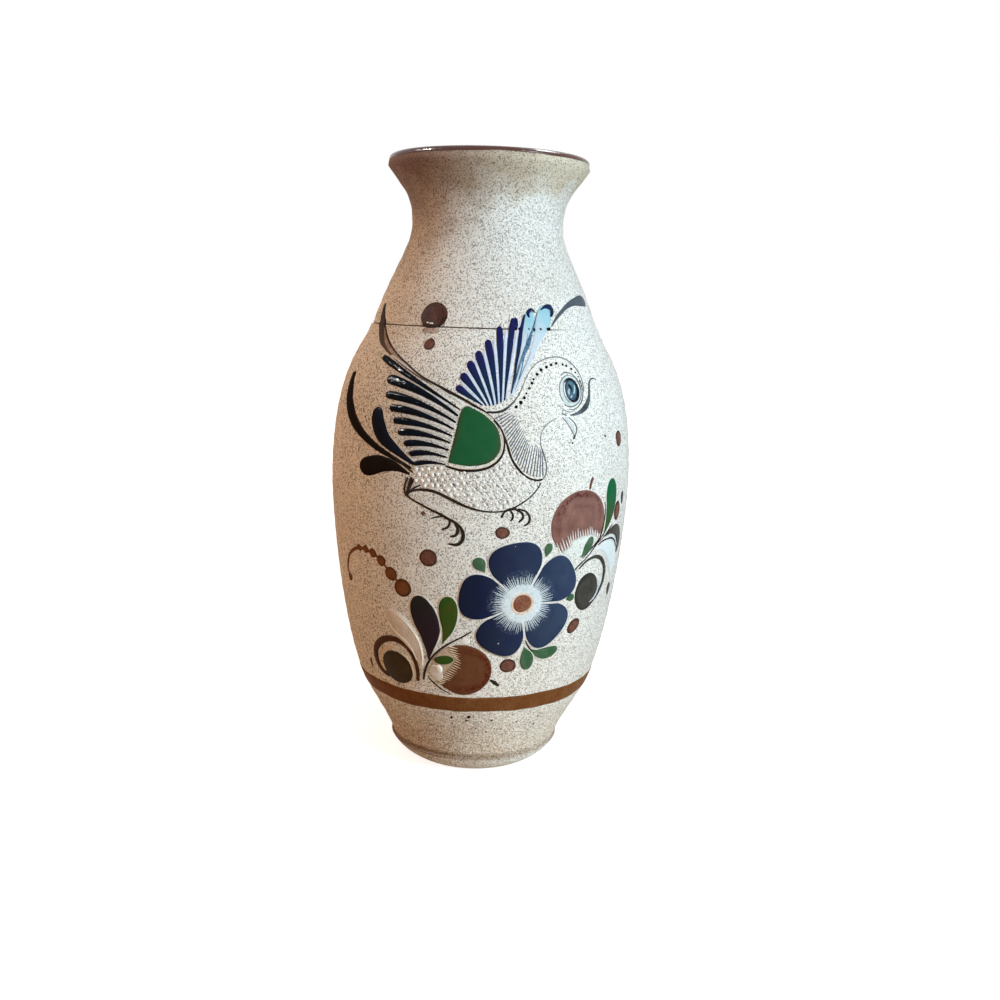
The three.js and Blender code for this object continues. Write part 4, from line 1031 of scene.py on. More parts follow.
# The lines of the breast, neck and belly. The hatching runs from the breast line to its crest.
BREAST_LINE = [
    (4.7, 182), (6.5, 180), (8.2, 177.4), (9.6, 174.3), (10.8, 171), (11.8, 167.6), (13.3, 164),
    (15.8, 160.4), (18.5, 157.6), (21.5, 155.9), (24.5, 155.3), (26.8, 155.9),
]
BREAST_CREST = [
    (11.5, 185.3), (15.3, 182.8), (16.4, 179.6), (18.2, 176.2), (19.8, 172.8), (20.8, 170.8),
    (22.5, 170.8), (24.3, 170.8), (26, 168.5),
]
HATCH_COUNT = 24
NECK_LINE = [
    (1.6, 185.1), (5, 185), (8, 185.5), (10.5, 186.8), (13.5, 189.4), (16.2, 192.8), (18.3, 196.5),
    (20.5, 200.5), (23.5, 204), (27, 206.5), (31.5, 208), (36, 208.8), (41, 208.8), (45.5, 207.3),
    (49, 204.5), (51, 201), (51.6, 197), (51.2, 193.5),
]
NECK_DOTS = [
    (14.8, 187.5, 0.75), (17, 189.4, 0.85), (18.7, 191.4, 0.7), (19.7, 193.3, 0.5), (21.3, 195.5, 0.65),
    (22.8, 197.7, 0.7), (23.8, 199.4, 0.55), (25.9, 201.5, 0.75), (28.3, 203.4, 0.75), (31.6, 204.6, 0.75),
    (34.4, 205.6, 0.7), (37.6, 206.2, 0.7), (41.4, 205.7, 0.6), (43.5, 205.1, 0.6), (46.2, 203.7, 0.55),
    (48.3, 202.1, 0.5), (49.4, 200.2, 0.4), (50, 198.2, 0.5), (50.5, 196.2, 0.4),
]
BELLY_LINE = [
    (-31.8, 147), (-30, 148.3), (-27, 149.4), (-23, 149.7), (-19, 149.2), (-15, 147.6), (-10, 145.3),
    (-5, 143.1), (0, 141.8), (5, 141.3), (9, 141.6), (13, 142.7), (17, 144.8), (21, 147.8), (24, 151),
    (26, 154.4),
]
THROAT_LINE = [
    (34, 182.6), (30.5, 181), (27.5, 178.8), (25.8, 175.5), (25.4, 172.5), (25.8, 170), (26.8, 167.2),
    (27.8, 164), (28.3, 160.5), (27.8, 157.5), (26.6, 155.9),
]
EYE = (43.3, 194.5)


def make_breast():
    body = thin(NECK_LINE, [0.9, 1.1, 0.5, 0.36, 0.36, 0.38, 0.46, 0.55, 0.6, 0.5], 0.22)
    lone("neck_outline", body, NECK_TONE, ["neck_line"])
    body = thin(BREAST_LINE, [1.0, 1.1, 0.9, 1.1, 0.9, 1.2, 0.8, 1.0, 0.8], 0.28)
    lone("breast_outline", body, LINE, ["breast_line"])
    body = thin(BELLY_LINE, [0.9, 1.3, 1.4, 1.3, 0.9, 0.7, 0.7, 0.6, 0.5], 0.28)
    lone("belly_outline", body, LINE, ["belly_line"])
    foot, _ = spline(BREAST_LINE, HATCH_COUNT)
    crest, _ = spline(BREAST_CREST, HATCH_COUNT)
    hatch = [hairline([a + 0.08 * (b - a), b], [0.5, 0.5, 0.3], 0.16) for a, b in zip(foot, crest)]
    sheaf_of("breast_hatching", hatch, HATCH_LINE)
    raised_dots("neck_dots", NECK_DOTS, CHARCOAL, 0.5)
    throat = [
        hairline(THROAT_LINE, [0.35, 0.4, 0.4, 0.6, 0.7, 0.6], 0.2),
        hairline([(36.2, 184.6), (38, 184), (39.4, 183.4)], [0.5, 0.7, 0.5], 0.2),
    ]
    sheaf_of("throat_outline", throat, GREY_LINE)


def make_eye():
    lone("eye_pupil", disc(EYE, (3.5, 4.7), 0.5, turn=-10), EYE_BLUE, ["bird_eye"])
    crescent = [
        stroke([
            (40.2, 197.6), (41.4, 199), (43.8, 199.2), (46, 197.7), (47.1, 194.8), (46.6, 191.6),
            (44.9, 189.8), (42.7, 189.7), (41, 191.2),
        ], [0.4, 0.8, 1.1, 1.3, 1.6, 1.5, 1.1, 0.7, 0.3], 0.3, 0.36),
        thin([(41.6, 197), (43, 195.4), (43.4, 193.4)], [1.0, 1.2, 0.5], 0.2, 0.5),
    ]
    sheaf_of("eye_dark_crescent", crescent, EYE_DARK)
    # Painted highlights on the glossy eye, made as pale slip.
    glints = [
        thin([(42, 195.2), (41.3, 193.8), (41.4, 192.4)], [0.6, 1.0, 0.6], 0.15, 0.55),
        thin([(45.2, 196.6), (45, 194.6), (44, 192.6)], [0.5, 0.8, 0.6], 0.15, 0.55),
        thin([(43, 192.2), (42.2, 191)], [0.7, 0.5], 0.15, 0.5),
    ]
    sheaf_of("eye_glints", glints, EYE_GLINT_PAINT)
    body = stroke([
        (48, 198.2), (45.8, 200.2), (42.6, 200.6), (39.6, 199.2), (38.1, 196.2), (37.9, 192.6),
        (39.4, 189.6), (42.6, 188.2), (46, 189), (48.2, 192), (48.7, 195.8),
    ], [0.7, 0.9, 1.2, 1.7, 2.2, 2.0, 1.5, 1.0, 0.9, 0.9], 0.1)
    lone("eye_wash", body, EYE_WASH)
    rings = [
        hairline([
            (38.5, 201), (42, 202.2), (46, 201.2), (48.8, 198), (49.4, 194), (48, 190.2), (44.8, 187.9),
            (41, 187.3), (38, 188.5),
        ], [0.4, 0.6, 0.6, 0.7, 0.6, 0.6, 0.6, 0.6, 0.3], 0.3),
        hairline([
            (50, 199.4), (50.6, 195.5), (50, 191.6), (47.6, 188.2), (44, 186.2), (40, 186),
        ], [0.5, 0.6, 0.7, 0.6, 0.5, 0.3], 0.22),
        hairline([
            (47, 200), (43, 201), (39.4, 199.6), (37, 196.4), (36.8, 192.4), (38, 189.6),
        ], [0.3, 0.4, 0.5, 0.5, 0.4, 0.3], 0.2),
        hairline([(40.4, 199), (38.9, 195.6), (39.4, 191.6), (41.6, 189)], [0.3, 0.4, 0.4, 0.3], 0.2, 0.1),
        hairline([(34.6, 188.6), (37.6, 186.2), (41, 185), (44, 185.6)], [0.2, 0.3, 0.4, 0.3], 0.18),
    ]
    sheaf_of("eye_rings", rings, GREY_LINE)


def make_beak():
    body = stroke([
        (62.8, 198.4), (60.4, 199.2), (57.6, 198.6), (55.9, 196.4), (54.8, 193), (53.3, 189.6),
        (51, 187), (47.6, 185), (44.4, 184), (41, 183.6),
    ], [0.4, 0.7, 0.9, 1.2, 1.6, 2.3, 2.6, 1.9, 1.2, 0.5], 0.4)
    lone("upper_beak", body, BEAK, ["beak"])
    body = stroke([(38.2, 182.8), (40.8, 180.3), (42.4, 177.4), (42.6, 175)], [1.0, 1.6, 1.5, 0.7], 0.2)
    lone("lower_beak", body, BEAK_WASH)
    beak_line = [
        hairline([
            (39.9, 182.8), (42.8, 180.4), (44.1, 177.6), (43.2, 174.6),
        ], [0.3, 0.5, 0.6, 0.5], 0.25, 0.1),
        hairline([
            (36.6, 182.8), (38.9, 180.3), (40.9, 177.2), (42.3, 174.8),
        ], [0.3, 0.4, 0.4, 0.3], 0.25, 0.1),
    ]
    sheaf_of("beak_line", beak_line, GREY_LINE)
    tip = [
        stroke([(43, 175), (42.6, 174), (42, 172.8)], [0.8, 1.0, 0.5], 0.3, 0.1),
        disc((41.4, 171.2), (0.4, 0.5), 0.2),
    ]
    sheaf_of("beak_tip", tip, LINE)


def make_legs():
    left = [
        thin([
            (-32, 146.6), (-30, 145.2), (-25, 142.9), (-20, 140.7), (-16, 139), (-13, 137.3), (-10, 135.8),
            (-7.8, 133.6), (-6.7, 131), (-6.8, 128.5), (-8, 126.6), (-10, 125.7), (-13.4, 126),
        ], [0.8, 0.8, 0.9, 1.0, 1.2, 1.3, 1.3, 1.6, 1.6, 0.7], 0.3),
        thin([(-15.5, 138.4), (-18, 137.9), (-20.6, 137.1)], [0.8, 0.8, 0.6], 0.25),
        thin([(-12.8, 137), (-12.5, 135.3), (-13.6, 133.4), (-16.2, 132.3)], [1.0, 1.0, 1.1, 0.8], 0.28),
        thin([
            (-10.6, 135.8), (-9.2, 133.5), (-9.2, 131.2), (-10.5, 129.7), (-12.6, 129.4),
        ], [0.9, 1.2, 1.5, 1.2, 0.8], 0.28),
    ]
    right = [
        thin([(12.2, 142.3), (10.2, 141.2), (9, 138.6)], [0.9, 0.8, 1.3], 0.28),
        thin([(12.6, 142), (13.9, 140.2), (13.8, 138.2), (12.7, 137)], [1.0, 1.0, 1.0, 0.8], 0.28),
        thin([(14.6, 142.5), (17.5, 141), (18.4, 138.6), (16.3, 136.4)], [0.8, 1.0, 1.2, 0.8], 0.28),
        thin([
            (15.6, 142.7), (19.4, 141.5), (21.3, 138.6), (20.8, 136), (18.6, 134.7),
        ], [0.7, 0.9, 1.1, 1.1, 0.7], 0.28),
        thin([(10.6, 141.9), (12.6, 142.5), (15.6, 142.8)], [0.8, 1.4, 0.8], 0.3),
    ]
    sheaf_of("legs_and_claws", left + right, LINE)


# The slip beads on the belly stand in slanting rows between the wing, the breast and the belly line. They
# grow towards the tail.
BEAD_ROW_STEP = (1.45, -2.3)
BEAD_STEP = (2.75, 0.35)
BEAD_ROWS, BEAD_START_Z, BEAD_JITTER = 30, 152, 0.16
BEAD_FIELD = [
    (-28.6, 160.6), (-20, 161.6), (-15, 160), (-9, 158.6), (-3, 158.4), (3, 159.8), (7.4, 163),
    (9.8, 166.6), (11, 166), (13.2, 162.4), (16.6, 158.4), (20.6, 155.4), (24.6, 154), (25, 152.6),
    (20.6, 148.6), (16.6, 145.8), (12.8, 143.9), (8.8, 142.8), (5, 142.5), (0, 143), (-5, 144.4),
    (-10, 146.7), (-15, 149.1), (-19, 150.7), (-23, 151.2), (-27, 151.4), (-28, 153),
]


def inside(place, field):
    """Whether a layout place lies inside a closed outline."""
    x, y = place
    hit = False
    for (x0, y0), (x1, y1) in zip(field, field[1:] + field[:1]):
        if (y0 > y) != (y1 > y) and x < (x1 - x0) * (y - y0) / (y1 - y0) + x0:
            hit = not hit
    return hit


def make_belly_beads():
    rng = np.random.default_rng(7)
    beads, dashes = [], []
    for i in range(-BEAD_ROWS, BEAD_ROWS + 1):
        for j in range(-BEAD_ROWS, BEAD_ROWS + 1):
            x = i * BEAD_STEP[0] + j * BEAD_ROW_STEP[0] + rng.normal(0, BEAD_JITTER)
            z = BEAD_START_Z + i * BEAD_STEP[1] + j * BEAD_ROW_STEP[1] + rng.normal(0, BEAD_JITTER)
            if not inside((x, z), BEAD_FIELD):
                continue
            size = np.interp(x, [-28, -12, 20], [0.86, 0.74, 0.62]) * rng.uniform(0.85, 1.15)
            beads.append((x, z, size))
            if x > -24 and rng.uniform() < 0.75:
                dashes.append((x + BEAD_STEP[0] / 2, z + 0.2))
    raised_dots("belly_slip_beads", beads, BEAD_WHITE_AND_GLINT, 0.6)
    along = np.array(BEAD_ROW_STEP) / np.hypot(*BEAD_ROW_STEP)
    strokes = []
    for place in dashes:
        half = along * rng.uniform(0.5, 0.95)
        if inside(place, BEAD_FIELD):
            ends = [np.array(place) - half, np.array(place) + half]
            strokes.append(stroke(ends, [0.3, 0.35, 0.3], 0.1, across=4, step=0.3))
    sheaf_of("belly_dashes", strokes, HATCH_LINE)


# The flower: five petals between their partings, a ring of white slip with rays, and a brown eye.
FLOWER_CENTRE = (20.5, 98)
PETAL_GAP, CORNER_DROP = 0.8, 10.5
PETAL_PARTINGS = [137.7, 65, -3.2, -81, -156]
PETAL_REACHES = [(29.5, 0), (29.4, 0), (27.8, 1.1), (27.6, -0.7), (29.1, 0)]
HALO_RADIUS, FLOWER_EYE_RADIUS = 9.4, 4.4
PETAL_HEIGHT = 0.5
RAY_COUNT, RAY_CLEARANCE, RAY_SHORTEST, RAY_LONGEST = 84, 3.5, 13.2, 15.6


def about_flower(reach, degrees):
    """Layout places about the middle of the flower."""
    turn = np.radians(degrees)
    return FLOWER_CENTRE[0] + reach * np.cos(turn), FLOWER_CENTRE[1] + reach * np.sin(turn)


def petal_edge(s, which):
    """How far a petal reaches from the middle of the flower, from one parting at -1 to the next at 1."""
    reach, lean = np.array(PETAL_REACHES)[which].T
    return reach + lean * s - CORNER_DROP * np.abs(s) ** 4.2


def make_petals():
    """The petals, on one pale line of bare clay that shows round them all."""
    full_turn = PETAL_PARTINGS + [PETAL_PARTINGS[0] - 360]
    turns = np.linspace(PETAL_PARTINGS[0], full_turn[-1], 360, endpoint=False)
    which = np.clip(np.searchsorted(-np.array(full_turn), -turns, side="right") - 1, 0, 4)
    starts, stops = np.array(full_turn)[which], np.array(full_turn)[which + 1]
    edge = petal_edge(np.clip((turns - (starts + stops) / 2) / ((starts - stops) / 2), -1, 1), which) + 0.5
    share = np.linspace(0, 1, 16)[:, None]
    around, z = about_flower(HALO_RADIUS - 1 + (edge - HALO_RADIUS + 1) * share, turns)
    height = 0.16 * dome(2 * share - 1, 12) * np.ones_like(turns)
    lone("flower_resist_line", cushion(around, z, height, wrap=True), RESIST)
    for i, (start, stop) in enumerate(zip(full_turn, full_turn[1:])):
        f = np.linspace(0, 1, 44)[:, None]
        s = np.sin(np.linspace(-1, 1, 48) * math.pi / 2)[None]
        outer = petal_edge(s, i)
        reach = HALO_RADIUS - 0.6 + (outer - HALO_RADIUS + 0.6) * f
        parting = np.degrees(np.arcsin(PETAL_GAP / 2 / reach))
        around, z = about_flower(reach, (start + stop) / 2 + s * ((start - stop) / 2 - parting))
        swell = (1 - np.abs(2 * f - 1) ** 14) * (1 - np.abs(s) ** 10)
        height = PETAL_HEIGHT * np.sqrt(np.clip(swell, 0, 1))
        vertices, faces, uv = cushion(around, z, height)
        uv[:, 0] = 0.5 + np.clip(np.abs(uv[:, 0] - 0.5) * 1.02, 0, 0.5)
        lone(f"petal_enamel_{i + 1}", (vertices, faces, uv), PETAL, [f"petal_{i + 1}"])


def make_flower_middle():
    angle = np.linspace(0, 360, 120, endpoint=False)
    share = np.linspace(0, 1, 12)[:, None]
    ragged = 0.35 * np.sin(np.radians(angle * 24)) + 0.2 * np.sin(np.radians(angle * 11))
    reach = FLOWER_EYE_RADIUS + 0.2 + (HALO_RADIUS + ragged - FLOWER_EYE_RADIUS) * share
    around, z = about_flower(reach, angle + 0 * share)
    height = 0.62 * dome(2 * share - 1, 6) * np.ones_like(angle)
    lone("flower_ring", cushion(around, z, height, wrap=True), COOL_WHITE, ["flower_halo"])
    ring = np.linspace(0, 1, 6)[:, None]
    around, z = about_flower(FLOWER_EYE_RADIUS - 0.3 + 1.6 * ring, angle + 0 * ring)
    height = 0.68 * dome(2 * ring - 1, 4) * np.ones_like(angle)
    lone("flower_eye_rim", cushion(around, z, height, wrap=True), PALE_ORANGE)
    body = disc(FLOWER_CENTRE, (5.3, 4.0), 0.75, 0, 38, uneven=0.05, seed=5)
    lone("flower_eye_slip", body, EYE_BROWN, ["flower_eye"])


def make_rays():
    """Fine rays of slip from the ring over the petals, a broader line on each parting, and two stray dots."""
    rng = np.random.default_rng(11)
    rays = []
    for k in range(RAY_COUNT):
        degrees = k * 360 / RAY_COUNT + rng.uniform(-0.6, 0.6)
        near = min(abs((degrees - p + 180) % 360 - 180) for p in PETAL_PARTINGS)
        if near < RAY_CLEARANCE:
            continue
        tip = rng.uniform(RAY_SHORTEST, RAY_LONGEST)
        ends = [
            about_flower(HALO_RADIUS - 0.8, degrees),
            about_flower(tip, degrees + rng.uniform(-1.2, 1.2)),
        ]
        widths = [0.5, 0.46, 0.32, 0.12]
        rays.append(stroke(ends, widths, 0.2, PETAL_HEIGHT - 0.05, across=4, step=0.5, sink=0.4))
    sheaf_of("flower_rays", rays, COOL_WHITE)
    partings = [
        thin([about_flower(HALO_RADIUS - 0.5, p), about_flower(14, p)], [0.9, 0.8, 0.7, 0.4], 0.2, 0.02)
        for p in PETAL_PARTINGS
    ]
    sheaf_of("petal_partings", partings, COOL_WHITE)
    dots = [(15.6, 125.5, 0.15), (10.5, 78.7, 0.3)]
    raised_dots("petal_white_dots", dots, WHITE, 0.5, PETAL_HEIGHT)


def resist_line(line, width, root, shoulder, taper=1.5, margin=0.5):
    """The thin line of bare clay kept clear round a leaf: a low stroke a little larger than it."""
    points = np.asarray(line, float)
    start, end = points[0] - points[1], points[-1] - points[-2]
    first = points[0] + start / np.linalg.norm(start) * margin
    last = points[-1] + end / np.linalg.norm(end) * margin
    wider = law(width + 2 * margin, root + margin, shoulder, taper)
    return stroke(np.vstack([first, points[1:-1], last]), wider, 0.14, across=16, step=0.6, fullness=8)


# Leaves, stems and scrolls of the spray. A leaf has its line and [width, root width, shoulder] for its law.
def make_leaves():
    leaves = [
        ("left_navy_blade", [
            (-27.6, 100), (-26.4, 94.4), (-24.3, 88.6), (-22.6, 82.4), (-22.8, 75.4), (-23.6, 68),
        ], (13.2, 0.6, 0.34), PLUM, "navy", "left_navy_leaf"),
        ("left_green_blade", [
            (-13, 101), (-13.2, 95.6), (-13.1, 90), (-13.7, 84), (-16.4, 77),
        ], (9.2, 0.5, 0.27), LEAF_GREEN, "green", "left_green_leaf"),
        ("left_white_blade", [
            (-45.8, 88.6), (-41.4, 86.2), (-36.8, 81.8), (-32.6, 77), (-29.8, 72), (-28.4, 66),
            (-28.2, 62.6),
        ], (10.8, 0.6, 0.35), CLEAR, "white", "left_white_leaf"),
        ("right_green_blade", [
            (68.2, 152.8), (68.4, 146), (68.6, 140), (67.6, 134), (66, 129.5), (64, 125),
        ], (9.6, 0.5, 0.26), TALL_GREEN, "green", "right_green_leaf"),
        ("right_dark_blade", [
            (82, 113.8), (82.4, 120.5), (78.4, 125.8), (72, 127), (66, 125),
        ], (6.2, 0.6, 0.45), SLATE, "charcoal", "right_dark_leaf"),
        ("right_white_blade", [
            (78.4, 104.4), (77.4, 111.6), (72, 118), (65.5, 120.4), (59, 119.4),
        ], (9.2, 0.6, 0.4), COOL_CLEAR, "white", "right_white_leaf"),
        ("sprig_leaf_1", [
            (-0.8, 120.2), (0.4, 117.2), (3, 113.2),
        ], (5.9, 0.4, 0.38), SPRIG_GREEN, "green", "leaflet_1"),
        ("sprig_leaf_2", [
            (31.8, 126.2), (30.9, 123.2), (30, 119.6),
        ], (4.1, 0.4, 0.4), SPRIG_GREEN, "green", "leaflet_2"),
        ("sprig_leaf_3", [
            (48.4, 98.3), (46, 98.2), (43.2, 97.8),
        ], (3.7, 0.4, 0.45), SPRIG_GREEN, "green", "leaflet_3"),
        ("sprig_leaf_4", [
            (25.9, 63.8), (25.7, 69.2), (23.4, 76.2),
        ], (7.5, 0.4, 0.42), SPRIG_GREEN, "green", "leaflet_4"),
        ("sprig_leaf_5", [
            (42.9, 73.1), (36.8, 71.6), (31, 72.2), (27.2, 74.6),
        ], (6.2, 0.4, 0.4), SPRIG_GREEN, "green", "leaflet_5"),
    ]
    for name, line, sizes, material, slot, node in leaves:
        body = stroke(line, law(*sizes), crown=0.5, across=18, step=0.5, fullness=5)
        lone(name, body, material, [node])
    lines = [resist_line(line, *sizes) for _, line, sizes, *_ in leaves]
    sheaf_of("leaf_resist_lines", lines, RESIST)


def make_stems():
    body = thin([
        (-27.7, 56.7), (-26.3, 61.9), (-23.4, 67.6), (-18.6, 73.1), (-12.8, 77.7), (-7.3, 81), (-2, 84.5),
    ], [1.2, 1.2, 1.1, 0.95, 0.8, 0.6], 0.25)
    lone("main_stem", body, LINE, ["stem"])
    stems = [
        thin([
            (46.4, 111.4), (49.5, 113.9), (54, 117), (59, 121.6), (62.1, 124.6), (64.8, 126.8),
        ], [0.7, 0.7, 0.6, 0.6, 0.7, 0.5], 0.22),
        thin([
            (62.8, 142.6), (64, 137.4), (63.6, 131), (61.9, 125.8), (58.8, 122.6), (54.8, 119.8),
            (50.4, 116.4),
        ], [0.5, 0.6, 0.8, 0.9, 0.8, 0.7, 0.4], 0.22),
        thin([(60, 122.5), (66, 125.5), (72, 130)], [0.5, 0.7, 0.5], 0.2),
        thin([
            (60.6, 121.6), (64.6, 123), (69.2, 123.4), (73.8, 122.7), (77.7, 120.6), (80.3, 117.3),
        ], [0.5, 0.7, 0.9, 0.9, 0.7, 0.4], 0.2, 0.1),
        hairline([(-24, 73.4), (-24.2, 70.6), (-23.8, 68.4)], [0.4, 0.5, 0.5], 0.2),
        thin([(23.9, 79.4), (25.2, 76.8), (28.4, 73), (31, 71.2)], [0.5, 0.8, 0.7, 0.4], 0.2),
        thin([(-25, 59), (-22, 56.2), (-18, 53.2), (-12, 50.6)], [0.7, 0.8, 0.6, 0.3], 0.2),
        thin([(7.3, 59.6), (9.6, 58.2), (12.8, 55.8)], [0.8, 2.2, 1.0], 0.25),
        hairline([(48.4, 117), (50.4, 119.5), (52, 122)], [0.5, 0.5, 0.5], 0.2),
    ]
    sheaf_of("fine_stems", stems, LINE)


def make_bright_lines():
    """Pale lines beside the leaves, dabs of slip, and the calyx leaves."""
    brights = [
        thin([
            (-41, 89), (-36, 86.6), (-31.6, 82.4), (-28.4, 77), (-27, 71), (-27.2, 64.6),
        ], [0.4, 0.7, 0.8, 0.9, 0.8, 0.4], 0.3, 0.3),
        thin([
            (-45, 83.6), (-41, 79.6), (-36, 76.6), (-32.4, 72.6), (-30.2, 67),
        ], [0.3, 0.6, 0.6, 0.6, 0.3], 0.3, 0.3),
        thin([(-17.2, 92), (-16.4, 86), (-18.2, 79), (-21, 73)], [0.6, 0.9, 0.8, 0.4], 0.2),
    ]
    sheaf_of("bright_lines", brights, WARM_WHITE)
    cool = [
        thin([(79.6, 119.4), (76.6, 123), (71, 124.2), (65.6, 123)], [0.5, 0.8, 0.8, 0.4], 0.2),
        thin([(73.7, 123.4), (78.6, 120.6), (82.4, 115)], [0.5, 0.8, 0.5], 0.2, 0.1),
    ]
    sheaf_of("cool_bright_lines", cool, COOL_WHITE)
    dabs = [disc((-4.9, 79.3), (1.9, 1.6), 0.2), disc((-18.2, 64.4), (1.6, 1.9), 0.6, 0.4, 20)]
    sheaf_of("white_dabs", dabs, BEAD_WHITE_AND_GLINT)
    lone("fruit_bright_patch", disc((-20, 61.8), (3.2, 4.4), 0.12, 0.38, 30, seed=6), CLEAR)
    lone("calyx_leaf", disc((-15.6, 69.1), (5.2, 2.4), 0.4, 0.25, 10), LEAF_GREEN)
    body = stroke([
        (55.2, 127), (54.2, 123.8), (52, 120.4), (49.8, 117.2),
    ], law(5.2, 0.4, 0.4), 0.35, 0.25, across=14, fullness=5)
    lone("upper_calyx_leaf", body, SPRIG_GREEN)


def make_left_scroll():
    body = stroke([
        (-50, 54.6), (-55.6, 56.6), (-58.6, 61.4), (-57.4, 67.4), (-52.4, 72.4), (-45.6, 75.2),
        (-38.6, 74.8), (-33.6, 70.8), (-31, 64.6), (-30.6, 59.6), (-31.2, 55.4),
    ], [2.4, 3.2, 3.7, 3.6, 3.4, 3.0, 2.6, 2.3, 2.1, 2.0], 0.4)
    lone("left_scroll_curl", body, SCROLL, ["left_scroll"])
    body = disc((-43.5, 60.6), (9.9, 8.5), 0.55, turn=-8, rows=16, cols=60, seed=3, fullness=5)
    lone("left_scroll_drop", body, OLIVE)
    pale = [
        thin([
            (-52.4, 56), (-54.8, 59), (-55, 62.6), (-52.8, 66.4), (-48.6, 69.4), (-43, 71),
        ], [0.6, 1.2, 1.7, 1.7, 1.2, 0.5], 0.16),
        thin([(-36.6, 68), (-34, 63.4), (-33.4, 58.4), (-34.8, 54.2)], [0.5, 0.8, 0.8, 0.4], 0.16),
    ]
    sheaf_of("left_scroll_pale_lines", pale, CREAM_LINE)


def make_right_scroll():
    right = [
        stroke([
            (56.5, 92.6), (62, 93), (67, 96.8), (70, 102), (69.8, 108), (66.3, 113.3), (60.5, 116),
            (54, 115), (49.2, 111.6),
        ], [0.8, 1.6, 2.0, 2.2, 2.4, 2.2, 1.8, 1.2, 0.8], 0.35),
        disc((57.1, 99.2), (8.4, 9.3), 0.55, turn=18, rows=16, cols=60, seed=4, fullness=5),
    ]
    sheaf_of("right_scroll_enamel", right, SLATE, ["right_scroll"])
    body = thin([
        (65.6, 104), (65.9, 100.6), (64.6, 97), (62, 94.6), (59.4, 93.6),
    ], [0.4, 0.7, 1.0, 0.9, 0.4], 0.2, 0.45)
    lone("right_scroll_pale_line", body, COOL_WHITE)


def make_tendril():
    """A chain of brown beads on a curled line."""
    beads = [
        (-73.2, 100, 2), (-61.5, 117.2, 1.6), (-56.5, 117.4, 1.9), (-51.7, 116.4, 2.2),
        (-46.6, 113.6, 2.6), (-41.3, 108.3, 3.3), (-35.2, 102.4, 4.4),
    ]
    tendril = [disc((x, y), (r, r), 0.3, seed=int(10 * r)) for x, y, r in beads]
    tendril.append(thin([
        (-73, 99.5), (-74.8, 104.5), (-72.5, 110.5), (-67, 115), (-60, 117.2), (-52.5, 116.4),
        (-46.5, 113.4), (-41.3, 108.3), (-36, 103.2),
    ], [1.3, 1.5, 1.7, 1.5, 1.3, 1.3], 0.25))
    sheaf_of("tendril_of_beads", tendril, BEAD_BROWN, ["bead_tendril"])


# Fruits: a stroke-shaped body whose near side is bare, and a comb of bright strokes from roots to tips.
LOWER_COMB = [
    (-14, 76.4), (-12.2, 73), (-10.1, 70.6), (-11.2, 67.5), (-13.1, 65.1), (-15.5, 61.8), (-17.9, 58.9),
    (-19.6, 56.2),
]
LOWER_TIPS = [
    (-7.6, 75.4), (-7.8, 72.6), (-7.1, 70), (-6.6, 67.1), (-7.5, 64.8), (-9.9, 61.6), (-12.6, 59.4),
    (-16.5, 56.5),
]
UPPER_COMB = [
    (37.2, 121), (40.1, 122.3), (42.1, 123.6), (42.8, 125.9), (45.2, 126.8), (48, 127.6), (51.2, 127.7),
    (54.5, 127.8), (57.7, 126.6), (60.6, 125.2),
]
UPPER_TIPS = [
    (35.2, 125.2), (37.5, 126.8), (39.2, 128.1), (42.8, 130.8), (45, 131.7), (47.3, 130.6), (50.2, 131.4),
    (53, 131.8), (56.1, 129.9), (59.9, 128.2),
]


def fruit(name, line, sizes, comb, far_point, material, node):
    """A fruit whose points say whether they lie on the bare side of the comb, how near the far point they
    are, and how deep inside its edge."""
    vertices, faces, uv = stroke(line, law(*sizes), crown=0.4, across=40, step=0.45, fullness=7)
    around = np.arctan2(vertices[:, 0], -vertices[:, 1]) * LAYOUT_RADIUS
    flat = np.stack([around, vertices[:, 2]], -1)
    curve, _ = spline(comb, 80)
    gap = flat[:, None] - curve[None]
    nearest = np.argmin((gap ** 2).sum(-1), axis=1)
    run = np.gradient(curve, axis=0)[nearest]
    run /= np.linalg.norm(run, axis=1, keepdims=True)
    off = gap[np.arange(len(flat)), nearest]
    side = run[:, 0] * off[:, 1] - run[:, 1] * off[:, 0]
    pale = np.clip(0.5 - side / 1.2, 0, 1)
    reach = np.linalg.norm(flat - np.array(far_point), axis=1)
    far = np.clip(1.6 - reach / 14, 0, 1)
    half_width = law(*sizes)(uv[:, 1]) / 2
    run_length = np.linalg.norm(np.diff(np.asarray(line, float), axis=0), axis=1).sum()
    depth = np.minimum(half_width * (1 - np.abs(uv[:, 0] * 2 - 1)), uv[:, 1] * run_length)
    marks = {"pale": pale, "far": far, "depth": depth}
    make_piece(name, vertices, faces.tolist(), material, [node], uv, marks)


def comb_strokes(roots, tips, count, width, seed):
    """Fine strokes of slip from one line to another, uneven in length."""
    rng = np.random.default_rng(seed)
    bodies = []
    for root, tip in zip(spline(roots, count)[0], spline(tips, count)[0]):
        tip = tip + (tip - root) * rng.uniform(-0.2, 0.25)
        widths = [0.6 * width, width, 0.8 * width, 0.45 * width, 0.1]
        bodies.append(stroke([root, tip], widths, 0.2, 0.32, across=4, step=0.4, sink=0.3))
    return bodies


